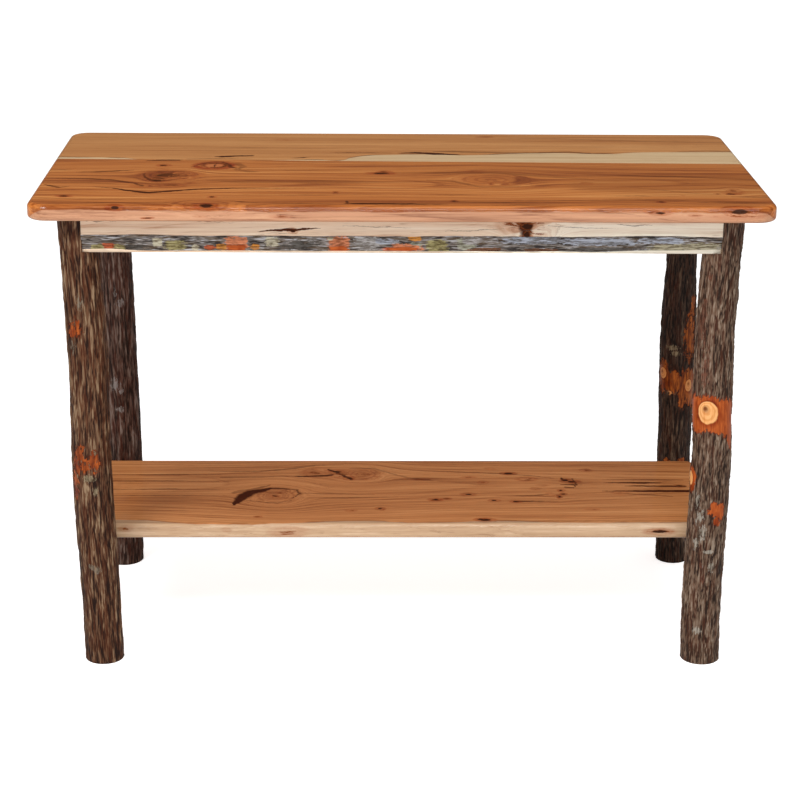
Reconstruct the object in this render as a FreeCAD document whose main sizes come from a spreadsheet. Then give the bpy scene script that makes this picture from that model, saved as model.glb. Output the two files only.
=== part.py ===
import FreeCAD, Part
import os

import Sketcher

# A rustic hickory table: two top boards on a frame of wane-edged aprons, four
# leg poles with the bark on, and one shelf board that rests on two rungs.
# The frame of reference has its origin on the floor under the middle of the
# top, +X along the top, the front towards -Y and +Z up. Millimetres.

doc = FreeCAD.newDocument("HickoryTable")

# Driving dimensions

SIZES = {
    # Top
    "top_length": 1118,
    "top_width": 559,
    "top_thick": 25,
    "table_height": 762,
    "top_corner_radius": 32,
    "top_upper_round": 8,
    "top_lower_round": 5.5,
    "seam_left": 53,
    "seam_right": 30.5,
    # Aprons, set in from the top's edges by the two overhangs
    "end_overhang": 76.6,
    "side_overhang": 40.5,
    "apron_thick": 24,
    "apron_tall": 58,
    "sawn_tall": 30,
    "wane_deep": 7,
    "wane_lip": 3,
    # Legs
    "leg_radius": 30,
    "leg_outset": 5.4,
    "leg_setback": 1,
    # Shelf
    "shelf_height": 208,
    "shelf_thick": 25,
    "shelf_leg_gap": 25.5,
    "shelf_overhang": 37.4,
    "shelf_corner_radius": 13,
    "shelf_round": 6,
    # Rungs under the shelf
    "rung_radius": 19,
    "rung_flat": 2,
    "rung_shoulder": 18,
    "tenon_radius": 12.5,
    "tenon_deep": 30,
    # Corner blocks
    "block_leg": 52,
    "block_tall": 30,
    "block_blunt": 8,
    # Cleats
    "cleat_length": 300,
    "cleat_wide": 25,
    "cleat_tall": 25,
    # Screws
    "shank_radius": 2.1,
    "head_radius": 4.2,
    "head_deep": 3,
    "screw_point": 5,
    "screw_bite": 15,
    "leg_screw_bite": 20,
    "leg_screw_rise": 13.5,
    "leg_screw_near": 4,
    "leg_screw_pitch": 15,
    "cleat_screw_offset": 60,
    "top_screw_offset": 110,
    "shelf_screw_offset": 95,
    # Fit
    "clearance": 0.1,
    "overrun": 10,
}

# Each leg's rings from the foot up: share of the leg's height, then how far the
# ring's centre lies off the leg's line in X and Y and how thick the pole is
# there, as shares of the leg radius.
FRONT_LEFT_SHARES = [
    (0.00, 0.43, 0.06, 1.010),
    (0.13, 0.38, 0.00, 1.000),
    (0.30, 0.25, -0.07, 1.010),
    (0.48, 0.15, -0.10, 0.995),
    (0.66, 0.19, -0.05, 0.995),
    (0.85, 0.04, 0.03, 0.990),
    (1.00, -0.09, 0.00, 0.990),
]
FRONT_RIGHT_SHARES = [
    (0.00, 0.00, -0.05, 1.025),
    (0.13, -0.05, 0.02, 1.010),
    (0.30, 0.02, 0.06, 1.010),
    (0.48, 0.04, 0.00, 1.005),
    (0.66, -0.10, -0.06, 1.000),
    (0.85, -0.06, -0.02, 0.995),
    (1.00, 0.06, 0.00, 0.995),
]
BACK_LEFT_SHARES = [
    (0.00, 0.09, -0.08, 1.060),
    (0.13, 0.17, -0.02, 1.045),
    (0.30, 0.22, 0.05, 1.040),
    (0.48, 0.12, 0.08, 1.040),
    (0.66, 0.05, 0.02, 1.030),
    (0.85, -0.06, -0.03, 1.020),
    (1.00, -0.12, 0.00, 1.010),
]
BACK_RIGHT_SHARES = [
    (0.00, 0.45, 0.10, 0.945),
    (0.13, 0.33, 0.06, 0.950),
    (0.30, 0.26, 0.00, 0.952),
    (0.45, 0.19, -0.06, 0.990),
    (0.59, 0.16, -0.05, 1.005),
    (0.70, 0.155, -0.03, 0.915),
    (0.82, 0.155, 0.01, 0.885),
    (1.00, 0.15, 0.00, 0.900),
]

# The wane's line on an apron: share of its height from the top, share of its depth.
WANE_SHARES = [(0, 0), (0.3, 0.35), (0.65, 0.75), (1, 1)]

# Places worked out from the driving dimensions, as expressions over the sheet

HALF_TOP_LENGTH = "(Sizes.top_length / 2)"
HALF_TOP_WIDTH = "(Sizes.top_width / 2)"
UNDERSIDE = "(Sizes.table_height - Sizes.top_thick)"
APRON_FOOT = f"({UNDERSIDE} - Sizes.apron_tall)"
WANE_TOP = f"({UNDERSIDE} - Sizes.sawn_tall)"
WANE_TALL = f"({WANE_TOP} - {APRON_FOOT} - Sizes.wane_lip)"
HALF_FRAME_LENGTH = f"({HALF_TOP_LENGTH} - Sizes.end_overhang)"
HALF_FRAME_WIDTH = f"({HALF_TOP_WIDTH} - Sizes.side_overhang)"
INNER_X = f"({HALF_FRAME_LENGTH} - Sizes.apron_thick)"
INNER_Y = f"({HALF_FRAME_WIDTH} - Sizes.apron_thick)"
LEG_X = f"({HALF_FRAME_LENGTH} + Sizes.leg_outset)"
LEG_Y = f"({HALF_FRAME_WIDTH} - Sizes.leg_setback - Sizes.leg_radius)"
LEG_INNER_Y = f"({LEG_Y} - Sizes.leg_radius)"
SHELF_FOOT = "(Sizes.shelf_height - Sizes.shelf_thick)"
HALF_SHELF_LENGTH = f"({HALF_FRAME_LENGTH} + Sizes.shelf_overhang)"
HALF_SHELF_WIDTH = f"({LEG_INNER_Y} - Sizes.shelf_leg_gap)"
RUNG_HEIGHT = f"({SHELF_FOOT} + Sizes.rung_flat - Sizes.rung_radius)"
RUNG_FOOT = f"({RUNG_HEIGHT} - Sizes.rung_radius)"

# The sheet

sheet = doc.addObject("Spreadsheet::Sheet", "Sizes")
for row, (alias, size) in enumerate(SIZES.items(), start=1):
    sheet.set(f"A{row}", alias)
    sheet.set(f"B{row}", str(size))
    sheet.setAlias(f"B{row}", alias)
doc.recompute()

nodes = []


# Helpers

def value(expression):
    """The number that an expression over the sheet comes to."""
    return float(sheet.evalExpression(expression))


def new_body(name):
    """An empty body that may hold several solids."""
    body = doc.addObject("PartDesign::Body", name)
    body.Label = name
    body.AllowCompound = True
    return body


def place(item, x="0", y="0", z="0"):
    """Bind an object's position to three expressions."""
    item.setExpression("Placement.Base.x", x)
    item.setExpression("Placement.Base.y", y)
    item.setExpression("Placement.Base.z", z)


def origin_plane(body, role):
    return next(f for f in body.Origin.OriginFeatures if f.Role == role)


def new_sketch(body, name, role, base):
    """A sketch on one of the body's own planes, moved by the expressions of base."""
    sketch = body.newObject("Sketcher::SketchObject", name)
    sketch.AttachmentSupport = [(origin_plane(body, role), "")]
    sketch.MapMode = "FlatFace"
    for axis, expression in zip("xyz", base):
        sketch.setExpression(f"AttachmentOffset.Base.{axis}", expression)
    return sketch


def pin_down(sketch, geometry, point, place_x, place_y):
    """Hold one point of the sketch at two expressions from its origin."""
    for kind, expression in (("DistanceX", place_x), ("DistanceY", place_y)):
        rule = Sketcher.Constraint(kind, -1, 1, geometry, point, value(expression))
        number = sketch.addConstraint(rule)
        sketch.setExpression(f"Constraints[{number}]", expression)


def polygon(body, name, role, points, base=("0", "0", "0")):
    """A closed outline of straight lines through points given as expressions."""
    sketch = new_sketch(body, name, role, base)
    corners = [FreeCAD.Vector(value(x), value(y), 0) for x, y in points]
    for number, corner in enumerate(corners):
        following = corners[(number + 1) % len(corners)]
        sketch.addGeometry(Part.LineSegment(corner, following), False)
    for number in range(len(corners)):
        joined = (number + 1) % len(corners)
        sketch.addConstraint(Sketcher.Constraint("Coincident", number, 2, joined, 1))
    for number, (x, y) in enumerate(points):
        pin_down(sketch, number, 1, x, y)
    return sketch


def rectangle(body, name, role, low, high, base=("0", "0", "0")):
    corners = [low, (high[0], low[1]), high, (low[0], high[1])]
    return polygon(body, name, role, corners, base)


def ring(body, name, centre, radius, height):
    """A circle square to Z at the given height."""
    sketch = new_sketch(body, name, "XY_Plane", ("0", "0", height))
    middle = FreeCAD.Vector(value(centre[0]), value(centre[1]), 0)
    up = FreeCAD.Vector(0, 0, 1)
    sketch.addGeometry(Part.Circle(middle, up, value(radius)), False)
    pin_down(sketch, 0, 3, *centre)
    number = sketch.addConstraint(Sketcher.Constraint("Radius", 0, value(radius)))
    sketch.setExpression(f"Constraints[{number}]", radius)
    return sketch


def pad(body, name, sketch, length, midplane=False):
    feature = body.newObject("PartDesign::Pad", name)
    feature.Profile = sketch
    feature.Midplane = midplane
    feature.setExpression("Length", length)
    doc.recompute()
    return feature


def cut_through(body, name, sketch):
    """Pocket the outline right through the body, both ways from its plane."""
    before = body.Shape.Volume
    feature = body.newObject("PartDesign::Pocket", name)
    feature.Profile = sketch
    feature.Type = "ThroughAll"
    feature.Midplane = True
    doc.recompute()
    if not feature.Shape.Volume < before:
        raise ValueError(f"{name} cuts nothing")
    return feature


def revolve(body, name, sketch, axis):
    feature = body.newObject("PartDesign::Revolution", name)
    feature.Profile = sketch
    feature.ReferenceAxis = (sketch, [axis])
    feature.Angle = 360
    doc.recompute()
    return feature


def round_edges(body, name, base, wanted, radius):
    """Fillet those edges of the base feature that wanted says yes to."""
    doc.recompute()
    edges = [f"Edge{n}" for n, edge in enumerate(base.Shape.Edges, 1) if wanted(edge)]
    feature = body.newObject("PartDesign::Fillet", name)
    feature.Base = (base, edges)
    feature.setExpression("Radius", radius)
    doc.recompute()
    return feature


def same(first, second):
    return abs(first - second) < Part.Precision.confusion()


def middle_of(edge):
    return edge.valueAt((edge.FirstParameter + edge.LastParameter) / 2)


def carve(name, blank, tools):
    """The finished piece: its blank with the shapes of the tools taken out."""
    group = doc.addObject("Part::Compound", name + "_tools")
    group.Links = tools
    piece = doc.addObject("Part::Cut", name)
    piece.Label = name
    piece.Base = blank
    piece.Tool = group
    nodes.append(piece)


# Screws

def screw_profile(along, length, gap):
    """Half a screw from the flat of its head to its point, with a gap all round.

    A hole, which has a gap, also runs on past the flat of the head by the overrun.
    """
    shank = f"(Sizes.shank_radius + {gap})"
    head = f"(Sizes.head_radius + {gap})"
    flat = [("0", "0"), ("0", head)]
    if gap != "0":
        flat = [("-Sizes.overrun", "0"), ("-Sizes.overrun", head), (gap, head)]
    points = flat + [
        (f"(Sizes.head_deep + {gap})", shank),
        (f"({length} - Sizes.screw_point)", shank),
        (f"({length} + {gap})", "0"),
    ]
    if along == "z":
        points = [(radius, distance) for distance, radius in points]
    if along == "y":
        points = [(f"-({distance})", radius) for distance, radius in points]
    return points


def screws(name, along, length, seeds, gap="0"):
    """Screws at the seeds and at their mirror images left to right and front to back.

    Each seed is the middle of a head's flat. A screw runs along +X, -Y or +Z.
    """
    body = new_body(name)
    role = "YZ_Plane" if along == "y" else "XZ_Plane"
    axis = "V_Axis" if along == "z" else "H_Axis"
    profile = screw_profile(along, length, gap)
    turned = []
    for number, (x, y, z) in enumerate(seeds):
        base = (y, z, x) if along == "y" else (x, z, f"-({y})")
        sketch = polygon(body, f"{name}_profile_{number}", role, profile, base)
        turned.append(revolve(body, f"{name}_turned_{number}", sketch, axis))
    pattern = body.newObject("PartDesign::MultiTransform", name + "_pattern")
    pattern.Originals = turned
    mirrors = []
    for plane in ("YZ_Plane", "XZ_Plane"):
        mirror = body.newObject("PartDesign::Mirrored", f"{name}_{plane.lower()}")
        mirror.MirrorPlane = (origin_plane(body, plane), [""])
        mirrors.append(mirror)
    pattern.Transformations = mirrors
    body.Tip = pattern
    doc.recompute()
    return body


def screws_and_holes(name, along, length, seeds):
    """The screws as a node, and the same shapes with the clearance as a cutting tool."""
    nodes.append(screws(name, along, length, seeds))
    return screws(name + "_holes", along, length, seeds, "Sizes.clearance")


# Top

def top_board(side, holes):
    """One board of the top: a straight seam edge and an outer edge with round corners.

    side is -1 for the front board and +1 for the back one.
    """
    name = "top_board_front" if side < 0 else "top_board_back"
    body = new_body(name + "_blank")
    outer = f"({side} * {HALF_TOP_WIDTH})"
    points = [
        (f"-{HALF_TOP_LENGTH}", outer),
        (HALF_TOP_LENGTH, outer),
        (HALF_TOP_LENGTH, "Sizes.seam_right"),
        (f"-{HALF_TOP_LENGTH}", "Sizes.seam_left"),
    ]
    outline = polygon(body, name + "_outline", "XY_Plane", points, ("0", "0", UNDERSIDE))
    slab = pad(body, name + "_slab", outline, "Sizes.top_thick")
    end = value(HALF_TOP_LENGTH)
    rim = value(outer)

    def on_corner(edge):
        ends = edge.Vertexes
        upright = same(ends[0].X, ends[1].X) and same(ends[0].Y, ends[1].Y)
        return upright and same(ends[0].Y, rim)

    def on_rim(edge, height):
        middle = middle_of(edge)
        outside = same(abs(middle.x), end) or same(middle.y, rim)
        level = all(same(vertex.Z, height) for vertex in edge.Vertexes)
        return level and (outside or isinstance(edge.Curve, Part.Circle))

    def on_upper_rim(edge):
        return on_rim(edge, value("Sizes.table_height"))

    def on_lower_rim(edge):
        return on_rim(edge, value(UNDERSIDE))

    corners = round_edges(body, name + "_corners", slab, on_corner, "Sizes.top_corner_radius")
    upper = round_edges(body, name + "_upper_round", corners, on_upper_rim, "Sizes.top_upper_round")
    round_edges(body, name + "_lower_round", upper, on_lower_rim, "Sizes.top_lower_round")
    carve(name, body, holes)


# Aprons

def apron_section(outward):
    """An apron's section: sawn face above, a curved wane under it and a sawn lip below.

    The outer face lies at nothing, the inner face at the thickness, away from outward.
    """
    def inward(depth):
        return f"({-outward} * {depth})"

    wane = [
        (inward(f"({deep} * Sizes.wane_deep)"), f"({WANE_TOP} - {down} * {WANE_TALL})")
        for down, deep in WANE_SHARES
    ]
    return [(inward("0"), UNDERSIDE)] + wane + [
        (inward("Sizes.wane_deep"), APRON_FOOT),
        (inward("Sizes.apron_thick"), APRON_FOOT),
        (inward("Sizes.apron_thick"), UNDERSIDE),
    ]


def long_apron(side, holes):
    """An apron along the table, side -1 in front and +1 behind."""
    name = "apron_front" if side < 0 else "apron_back"
    body = new_body(name + "_blank")
    section = polygon(body, name + "_section", "YZ_Plane", apron_section(side))
    pad(body, name + "_length", section, f"2 * {HALF_FRAME_LENGTH}", midplane=True)
    place(body, y=f"{side} * {HALF_FRAME_WIDTH}")
    carve(name, body, holes)


def end_apron(side, holes):
    """An apron between the long ones, side -1 at the left and +1 at the right."""
    name = "apron_left" if side < 0 else "apron_right"
    body = new_body(name + "_blank")
    section = polygon(body, name + "_section", "XZ_Plane", apron_section(side))
    pad(body, name + "_length", section, f"2 * {INNER_Y}", midplane=True)
    place(body, x=f"{side} * {HALF_FRAME_LENGTH}")
    carve(name, body, holes)


# Legs

def leg(name, side_x, side_y, shares, tools):
    """A pole lofted through its rings, cut to an outer half-round beside the aprons."""
    body = new_body(name + "_pole")
    rings = []
    for number, (height, off_x, off_y, girth) in enumerate(shares):
        centre = (f"{off_x} * Sizes.leg_radius", f"{off_y} * Sizes.leg_radius")
        radius = f"{girth} * Sizes.leg_radius"
        rings.append(ring(body, f"{name}_ring_{number}", centre, radius, f"{height} * {UNDERSIDE}"))
    loft = body.newObject("PartDesign::AdditiveLoft", name + "_loft")
    loft.Profile = rings[0]
    loft.Sections = rings[1:]
    doc.recompute()
    low = (f"{-side_x} * Sizes.leg_outset", APRON_FOOT)
    high = (f"{-side_x} * (2 * Sizes.leg_radius)", f"{UNDERSIDE} + Sizes.overrun")
    notch = rectangle(body, name + "_notch_outline", "XZ_Plane", low, high)
    cut_through(body, name + "_notch", notch)
    place(body, f"{side_x} * {LEG_X}", f"{side_y} * {LEG_Y}")
    carve(name, body, tools)


# Blocks and cleats inside the frame

def corner_block(name, side_x, side_y, holes):
    """A triangular block with blunt ends, glued into a corner of the frame."""
    body = new_body(name + "_blank")
    reach = "Sizes.block_leg"
    blunt = "Sizes.block_blunt"
    shape = [("0", "0"), (reach, "0"), (reach, blunt), (blunt, reach), ("0", reach)]
    points = [(f"{-side_x} * {x}", f"{-side_y} * {y}") for x, y in shape]
    base = ("0", "0", f"{UNDERSIDE} - Sizes.block_tall")
    outline = polygon(body, name + "_outline", "XY_Plane", points, base)
    pad(body, name + "_height", outline, "Sizes.block_tall")
    place(body, f"{side_x} * {INNER_X}", f"{side_y} * {INNER_Y}")
    carve(name, body, holes)


def top_cleat(side, holes):
    """A batten along the middle of a long apron that the top is screwed to."""
    name = "top_cleat_front" if side < 0 else "top_cleat_back"
    body = new_body(name + "_blank")
    low = ("0", f"{UNDERSIDE} - Sizes.cleat_tall")
    high = (f"{-side} * Sizes.cleat_wide", UNDERSIDE)
    section = rectangle(body, name + "_section", "YZ_Plane", low, high)
    pad(body, name + "_length", section, "Sizes.cleat_length", midplane=True)
    place(body, y=f"{side} * {INNER_Y}")
    carve(name, body, holes)


# Shelf and rungs

def shelf_board(holes):
    """One board with round corners and edges."""
    body = new_body("shelf_board_blank")
    low = (f"-{HALF_SHELF_LENGTH}", f"-{HALF_SHELF_WIDTH}")
    high = (HALF_SHELF_LENGTH, HALF_SHELF_WIDTH)
    outline = rectangle(body, "shelf_outline", "XY_Plane", low, high, ("0", "0", SHELF_FOOT))
    slab = pad(body, "shelf_slab", outline, "Sizes.shelf_thick")

    def upright(edge):
        ends = edge.Vertexes
        return same(ends[0].X, ends[1].X) and same(ends[0].Y, ends[1].Y)

    def level(edge):
        return same(edge.BoundBox.ZLength, 0)

    corners = round_edges(body, "shelf_corners", slab, upright, "Sizes.shelf_corner_radius")
    round_edges(body, "shelf_edges", corners, level, "Sizes.shelf_round")
    carve("shelf_board", body, holes)


def rung_turning(name, gap="0"):
    """A round rung from tenon to tenon, with a gap all round where it cuts a socket."""
    body = new_body(name)
    tip = f"({LEG_INNER_Y} + Sizes.tenon_deep + {gap})"
    shoulder = LEG_INNER_Y
    barrel = f"({LEG_INNER_Y} - Sizes.rung_shoulder)"
    thin = f"(Sizes.tenon_radius + {gap})"
    thick = f"(Sizes.rung_radius + {gap})"
    half = [(tip, "0"), (tip, thin), (shoulder, thin), (barrel, thick)]
    other = [(f"-{y}", z) for y, z in reversed(half)]
    profile = polygon(body, name + "_profile", "YZ_Plane", half + other)
    revolve(body, name + "_turned", profile, "H_Axis")
    return body


def shelf_rung(side, holes):
    """A rung with a flat planed on it where the shelf rests."""
    name = "shelf_rung_left" if side < 0 else "shelf_rung_right"
    body = rung_turning(name + "_blank")
    low = (f"-({HALF_SHELF_WIDTH} + Sizes.clearance)", "Sizes.rung_radius - Sizes.rung_flat")
    high = (f"{HALF_SHELF_WIDTH} + Sizes.clearance", "Sizes.rung_radius + Sizes.overrun")
    flat = rectangle(body, name + "_flat_outline", "YZ_Plane", low, high)
    cut_through(body, name + "_flat", flat)
    place(body, f"{side} * {LEG_X}", "0", RUNG_HEIGHT)
    carve(name, body, holes)


def rung_socket(side):
    """The shape that the rung's tenons need inside the legs."""
    name = "left_rung_socket" if side < 0 else "right_rung_socket"
    body = rung_turning(name, "Sizes.clearance")
    place(body, f"{side} * {LEG_X}", "0", RUNG_HEIGHT)
    return body


# The screws and the holes they need

LEG_SCREW_Y = f"({LEG_Y} - Sizes.leg_radius + Sizes.head_radius + Sizes.leg_screw_near)"
LEG_SCREW_Z = f"({APRON_FOOT} + Sizes.leg_screw_rise)"
leg_holes = screws_and_holes(
    "leg_screws",
    "x",
    "(Sizes.apron_thick + Sizes.leg_screw_bite)",
    [
        (INNER_X, LEG_SCREW_Y, LEG_SCREW_Z),
        (INNER_X, f"({LEG_SCREW_Y} + Sizes.leg_screw_pitch)", LEG_SCREW_Z),
    ],
)

BLOCK_FOOT = f"({UNDERSIDE} - Sizes.block_tall)"
block_holes = screws_and_holes(
    "block_screws",
    "z",
    "(Sizes.block_tall + Sizes.screw_bite)",
    [
        (f"{INNER_X} - 0.5 * Sizes.block_leg", f"{INNER_Y} - 0.2 * Sizes.block_leg", BLOCK_FOOT),
        (f"{INNER_X} - 0.2 * Sizes.block_leg", f"{INNER_Y} - 0.5 * Sizes.block_leg", BLOCK_FOOT),
    ],
)

CLEAT_FOOT = f"({UNDERSIDE} - Sizes.cleat_tall)"
CLEAT_FACE = f"(-({INNER_Y} - Sizes.cleat_wide))"
cleat_holes = screws_and_holes(
    "cleat_screws",
    "y",
    "(Sizes.cleat_wide + Sizes.screw_bite)",
    [("Sizes.cleat_screw_offset", CLEAT_FACE, f"({CLEAT_FOOT} + Sizes.cleat_tall / 2)")],
)
top_holes = screws_and_holes(
    "top_screws",
    "z",
    "(Sizes.cleat_tall + Sizes.screw_bite)",
    [("Sizes.top_screw_offset", f"({INNER_Y} - Sizes.cleat_wide / 2)", CLEAT_FOOT)],
)

shelf_holes = screws_and_holes(
    "shelf_screws",
    "z",
    "(2 * Sizes.rung_radius - Sizes.rung_flat + Sizes.screw_bite)",
    [(LEG_X, "Sizes.shelf_screw_offset", RUNG_FOOT)],
)

# The pieces

for side in (-1, 1):
    top_board(side, [block_holes, top_holes])
    long_apron(side, [cleat_holes])
    end_apron(side, [leg_holes])
    top_cleat(side, [cleat_holes, top_holes])
    shelf_rung(side, [shelf_holes])
shelf_board([shelf_holes])

sockets = {side: rung_socket(side) for side in (-1, 1)}
leg("leg_front_left", -1, -1, FRONT_LEFT_SHARES, [leg_holes, sockets[-1]])
leg("leg_front_right", 1, -1, FRONT_RIGHT_SHARES, [leg_holes, sockets[1]])
leg("leg_back_left", -1, 1, BACK_LEFT_SHARES, [leg_holes, sockets[-1]])
leg("leg_back_right", 1, 1, BACK_RIGHT_SHARES, [leg_holes, sockets[1]])

for side_x, side_y, corner in (
    (-1, -1, "front_left"),
    (1, -1, "front_right"),
    (-1, 1, "back_left"),
    (1, 1, "back_right"),
):
    corner_block(f"corner_block_{corner}", side_x, side_y, [block_holes])

doc.recompute()

# Checks, then one file for each piece

for item in doc.Objects:
    if "Invalid" in item.State or "Error" in item.State:
        raise RuntimeError(f"{item.Label} failed: {item.State}")

os.makedirs("parts", exist_ok=True)
for node in nodes:
    shape = node.Shape
    if shape.isNull() or not shape.isValid() or not shape.Solids:
        raise RuntimeError(f"{node.Label} has no valid solid")
    shape.exportStep(f"parts/{node.Label}.step")
    box = shape.BoundBox
    size = f"{box.XLength:.1f} x {box.YLength:.1f} x {box.ZLength:.1f} mm"
    print(f"{node.Label}: {len(shape.Solids)} solids, {shape.Volume / 1000:.1f} cm3, {size}")
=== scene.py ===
import math

import bmesh
import bpy
import numpy as np
from bpy.props import FloatProperty, FloatVectorProperty, IntProperty, PointerProperty
from mathutils import Euler, Matrix, Vector, noise
from mathutils.bvhtree import BVHTree


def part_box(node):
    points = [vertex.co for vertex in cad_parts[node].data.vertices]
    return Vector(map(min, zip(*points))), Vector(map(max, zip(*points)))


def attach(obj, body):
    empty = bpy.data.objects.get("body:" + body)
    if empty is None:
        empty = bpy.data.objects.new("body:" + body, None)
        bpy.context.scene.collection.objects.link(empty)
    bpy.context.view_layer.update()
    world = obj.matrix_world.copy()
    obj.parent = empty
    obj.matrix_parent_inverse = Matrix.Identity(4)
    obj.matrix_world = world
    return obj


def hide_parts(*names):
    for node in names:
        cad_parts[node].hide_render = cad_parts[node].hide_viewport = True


bl_info = {
    "name": "Rustic Hickory Table",
    "version": (1, 0, 0),
    "blender": (4, 5, 0),
    "location": "3D View > Sidebar > Table",
    "description": "Dresses a hickory table: lacquered boards, wane-edged aprons, bark-on legs",
    "category": "Object",
}

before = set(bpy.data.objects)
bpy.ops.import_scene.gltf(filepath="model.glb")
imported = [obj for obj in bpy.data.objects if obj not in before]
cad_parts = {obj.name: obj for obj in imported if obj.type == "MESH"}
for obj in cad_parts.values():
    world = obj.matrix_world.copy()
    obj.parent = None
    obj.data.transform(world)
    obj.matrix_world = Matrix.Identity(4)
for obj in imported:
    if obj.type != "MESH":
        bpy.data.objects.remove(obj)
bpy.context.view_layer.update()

MM = 0.001
CORNERS = ("front_left", "front_right", "back_left", "back_right")


def box_of(node):
    """A CAD node's lowest and highest corner as plain tuples, in metres."""
    low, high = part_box(node)
    return tuple(low), tuple(high)


# Places read from the frame

TOP_FRONT = box_of("top_board_front")
TOP_EDGE = TOP_FRONT[0][1]
TABLE_HEIGHT = TOP_FRONT[1][2]
APRON_FRONT = box_of("apron_front")
APRON_FOOT = APRON_FRONT[0][2]
APRON_THICK = APRON_FRONT[1][1] - APRON_FRONT[0][1]
UNDERSIDE = APRON_FRONT[1][2]
FRAME_END = APRON_FRONT[1][0]
RUNG = box_of("shelf_rung_right")
RUNG_FLAT = box_of("shelf_board")[0][2]


def srgb(red, green, blue):
    """A colour written as it looks on screen, 0 to 255, as linear values."""
    def linear(part):
        part /= 255
        return part / 12.92 if part <= 0.04045 else ((part + 0.055) / 1.055) ** 2.4
    return tuple(linear(part) for part in (red, green, blue))


def rgba(colour):
    return (*colour, 1.0)


# Node trees

class Value:
    """A node's output. A sum of values and numbers is written as a sum and makes its own node."""

    def __init__(self, graph, socket):
        self.graph = graph
        self.socket = socket
        self.has_parts = socket.type in ("VECTOR", "RGBA")

    def _join(self, operation, first, second):
        """A number's maths node, or a vector's where either side has three parts."""
        parts = [getattr(side, "has_parts", isinstance(side, tuple)) for side in (first, second)]
        if not any(parts):
            return self.graph.math(operation, first, second)
        if operation == "MULTIPLY" and not parts[1]:
            return self.graph.vector("SCALE", first, scale=second)
        return self.graph.vector(operation, first, second)

    def __add__(self, other):
        return self._join("ADD", self, other)

    def __radd__(self, other):
        return self._join("ADD", other, self)

    def __sub__(self, other):
        return self._join("SUBTRACT", self, other)

    def __rsub__(self, other):
        return self._join("SUBTRACT", other, self)

    def __mul__(self, other):
        return self._join("MULTIPLY", self, other)

    def __truediv__(self, other):
        return self._join("DIVIDE", self, other)

    def __rtruediv__(self, other):
        return self._join("DIVIDE", other, self)


class Outputs:
    """A node's outputs as values, by name or place."""

    def __init__(self, graph, sockets):
        self.graph = graph
        self.sockets = sockets

    def __getitem__(self, key):
        return Value(self.graph, self.sockets[key])

    def in_use(self):
        """The one output that the node's settings leave in use."""
        return next(Value(self.graph, socket) for socket in self.sockets if socket.enabled)


class Graph:
    """Short calls for building a node tree."""

    def __init__(self, tree):
        self.tree = tree

    def node(self, kind, inputs=None, **settings):
        """A node with its settings, and its inputs linked or set by name or place."""
        node = self.tree.nodes.new(kind)
        for name, setting in settings.items():
            setattr(node, name, setting)
        for key, source in (inputs or {}).items():
            self.feed(node.inputs[key], source)
        return node

    def add(self, kind, inputs=None, **settings):
        """A new node's outputs."""
        return Outputs(self, self.node(kind, inputs, **settings).outputs)

    def feed(self, socket, source):
        """Link a value to an input, or set the input to a plain number or colour."""
        if isinstance(source, Value):
            self.tree.links.new(source.socket, socket)
        elif source is not None:
            socket.default_value = source

    def math(self, operation, first, second=None, third=None, clamp=False):
        inputs = {0: first, 1: second, 2: third}
        return self.add("ShaderNodeMath", inputs, operation=operation, use_clamp=clamp)[0]

    def vector(self, operation, first, second=None, scale=None):
        inputs = {0: first, 1: second, 3: scale}
        outputs = self.add("ShaderNodeVectorMath", inputs, operation=operation)
        single = operation in ("LENGTH", "DISTANCE", "DOT_PRODUCT")
        return outputs["Value" if single else "Vector"]

    def combine(self, x, y, z):
        return self.add("ShaderNodeCombineXYZ", {0: x, 1: y, 2: z})[0]

    def split(self, vector):
        outputs = self.add("ShaderNodeSeparateXYZ", {0: vector})
        return [outputs[part] for part in range(3)]

    def soft(self, source, low, high):
        """Nothing at low, all at high and an even curve between them."""
        inputs = {"Value": source, "From Min": low, "From Max": high}
        return self.add("ShaderNodeMapRange", inputs, interpolation_type="SMOOTHSTEP")[0]

    def mix(self, share, first, second, blend="MIX"):
        """A colour between two."""
        inputs = {0: share, 6: first, 7: second}
        return self.add("ShaderNodeMix", inputs, data_type="RGBA", blend_type=blend)[2]

    def multiply(self, share, first, second):
        """A colour, darkened by a share of another."""
        return self.mix(share, first, second, "MULTIPLY")

    def between(self, share, first, second):
        """A number between two."""
        return self.add("ShaderNodeMix", {0: share, 2: first, 3: second})[0]

    def noise(self, place, detail=2.0, roughness=0.5, colour=False):
        """Noise one unit wide at a place that is already scaled."""
        inputs = {"Vector": place, "Scale": 1.0, "Detail": detail, "Roughness": roughness}
        outputs = self.add("ShaderNodeTexNoise", inputs, noise_dimensions="3D")
        return outputs["Color" if colour else "Fac"]

    def around_zero(self, source, size):
        """A noise of 0 to 1 moved to lie about nothing, half a size each way."""
        return (source - 0.5) * size

    def group(self, tree, inputs):
        """A placed group's outputs."""
        return self.add("ShaderNodeGroup", inputs, node_tree=tree)


def new_group(name, kind, inputs, outputs):
    """A node group with named sockets, its graph, what it is given and where it puts out."""
    tree = bpy.data.node_groups.new(name, kind)
    for label, socket, default in inputs:
        item = tree.interface.new_socket(label, in_out="INPUT", socket_type="NodeSocket" + socket)
        if default is not None:
            item.default_value = default
    for label, socket in outputs:
        tree.interface.new_socket(label, in_out="OUTPUT", socket_type="NodeSocket" + socket)
    graph = Graph(tree)
    given = graph.add("NodeGroupInput")
    out = graph.node("NodeGroupOutput").inputs
    return tree, graph, given, out


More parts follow.
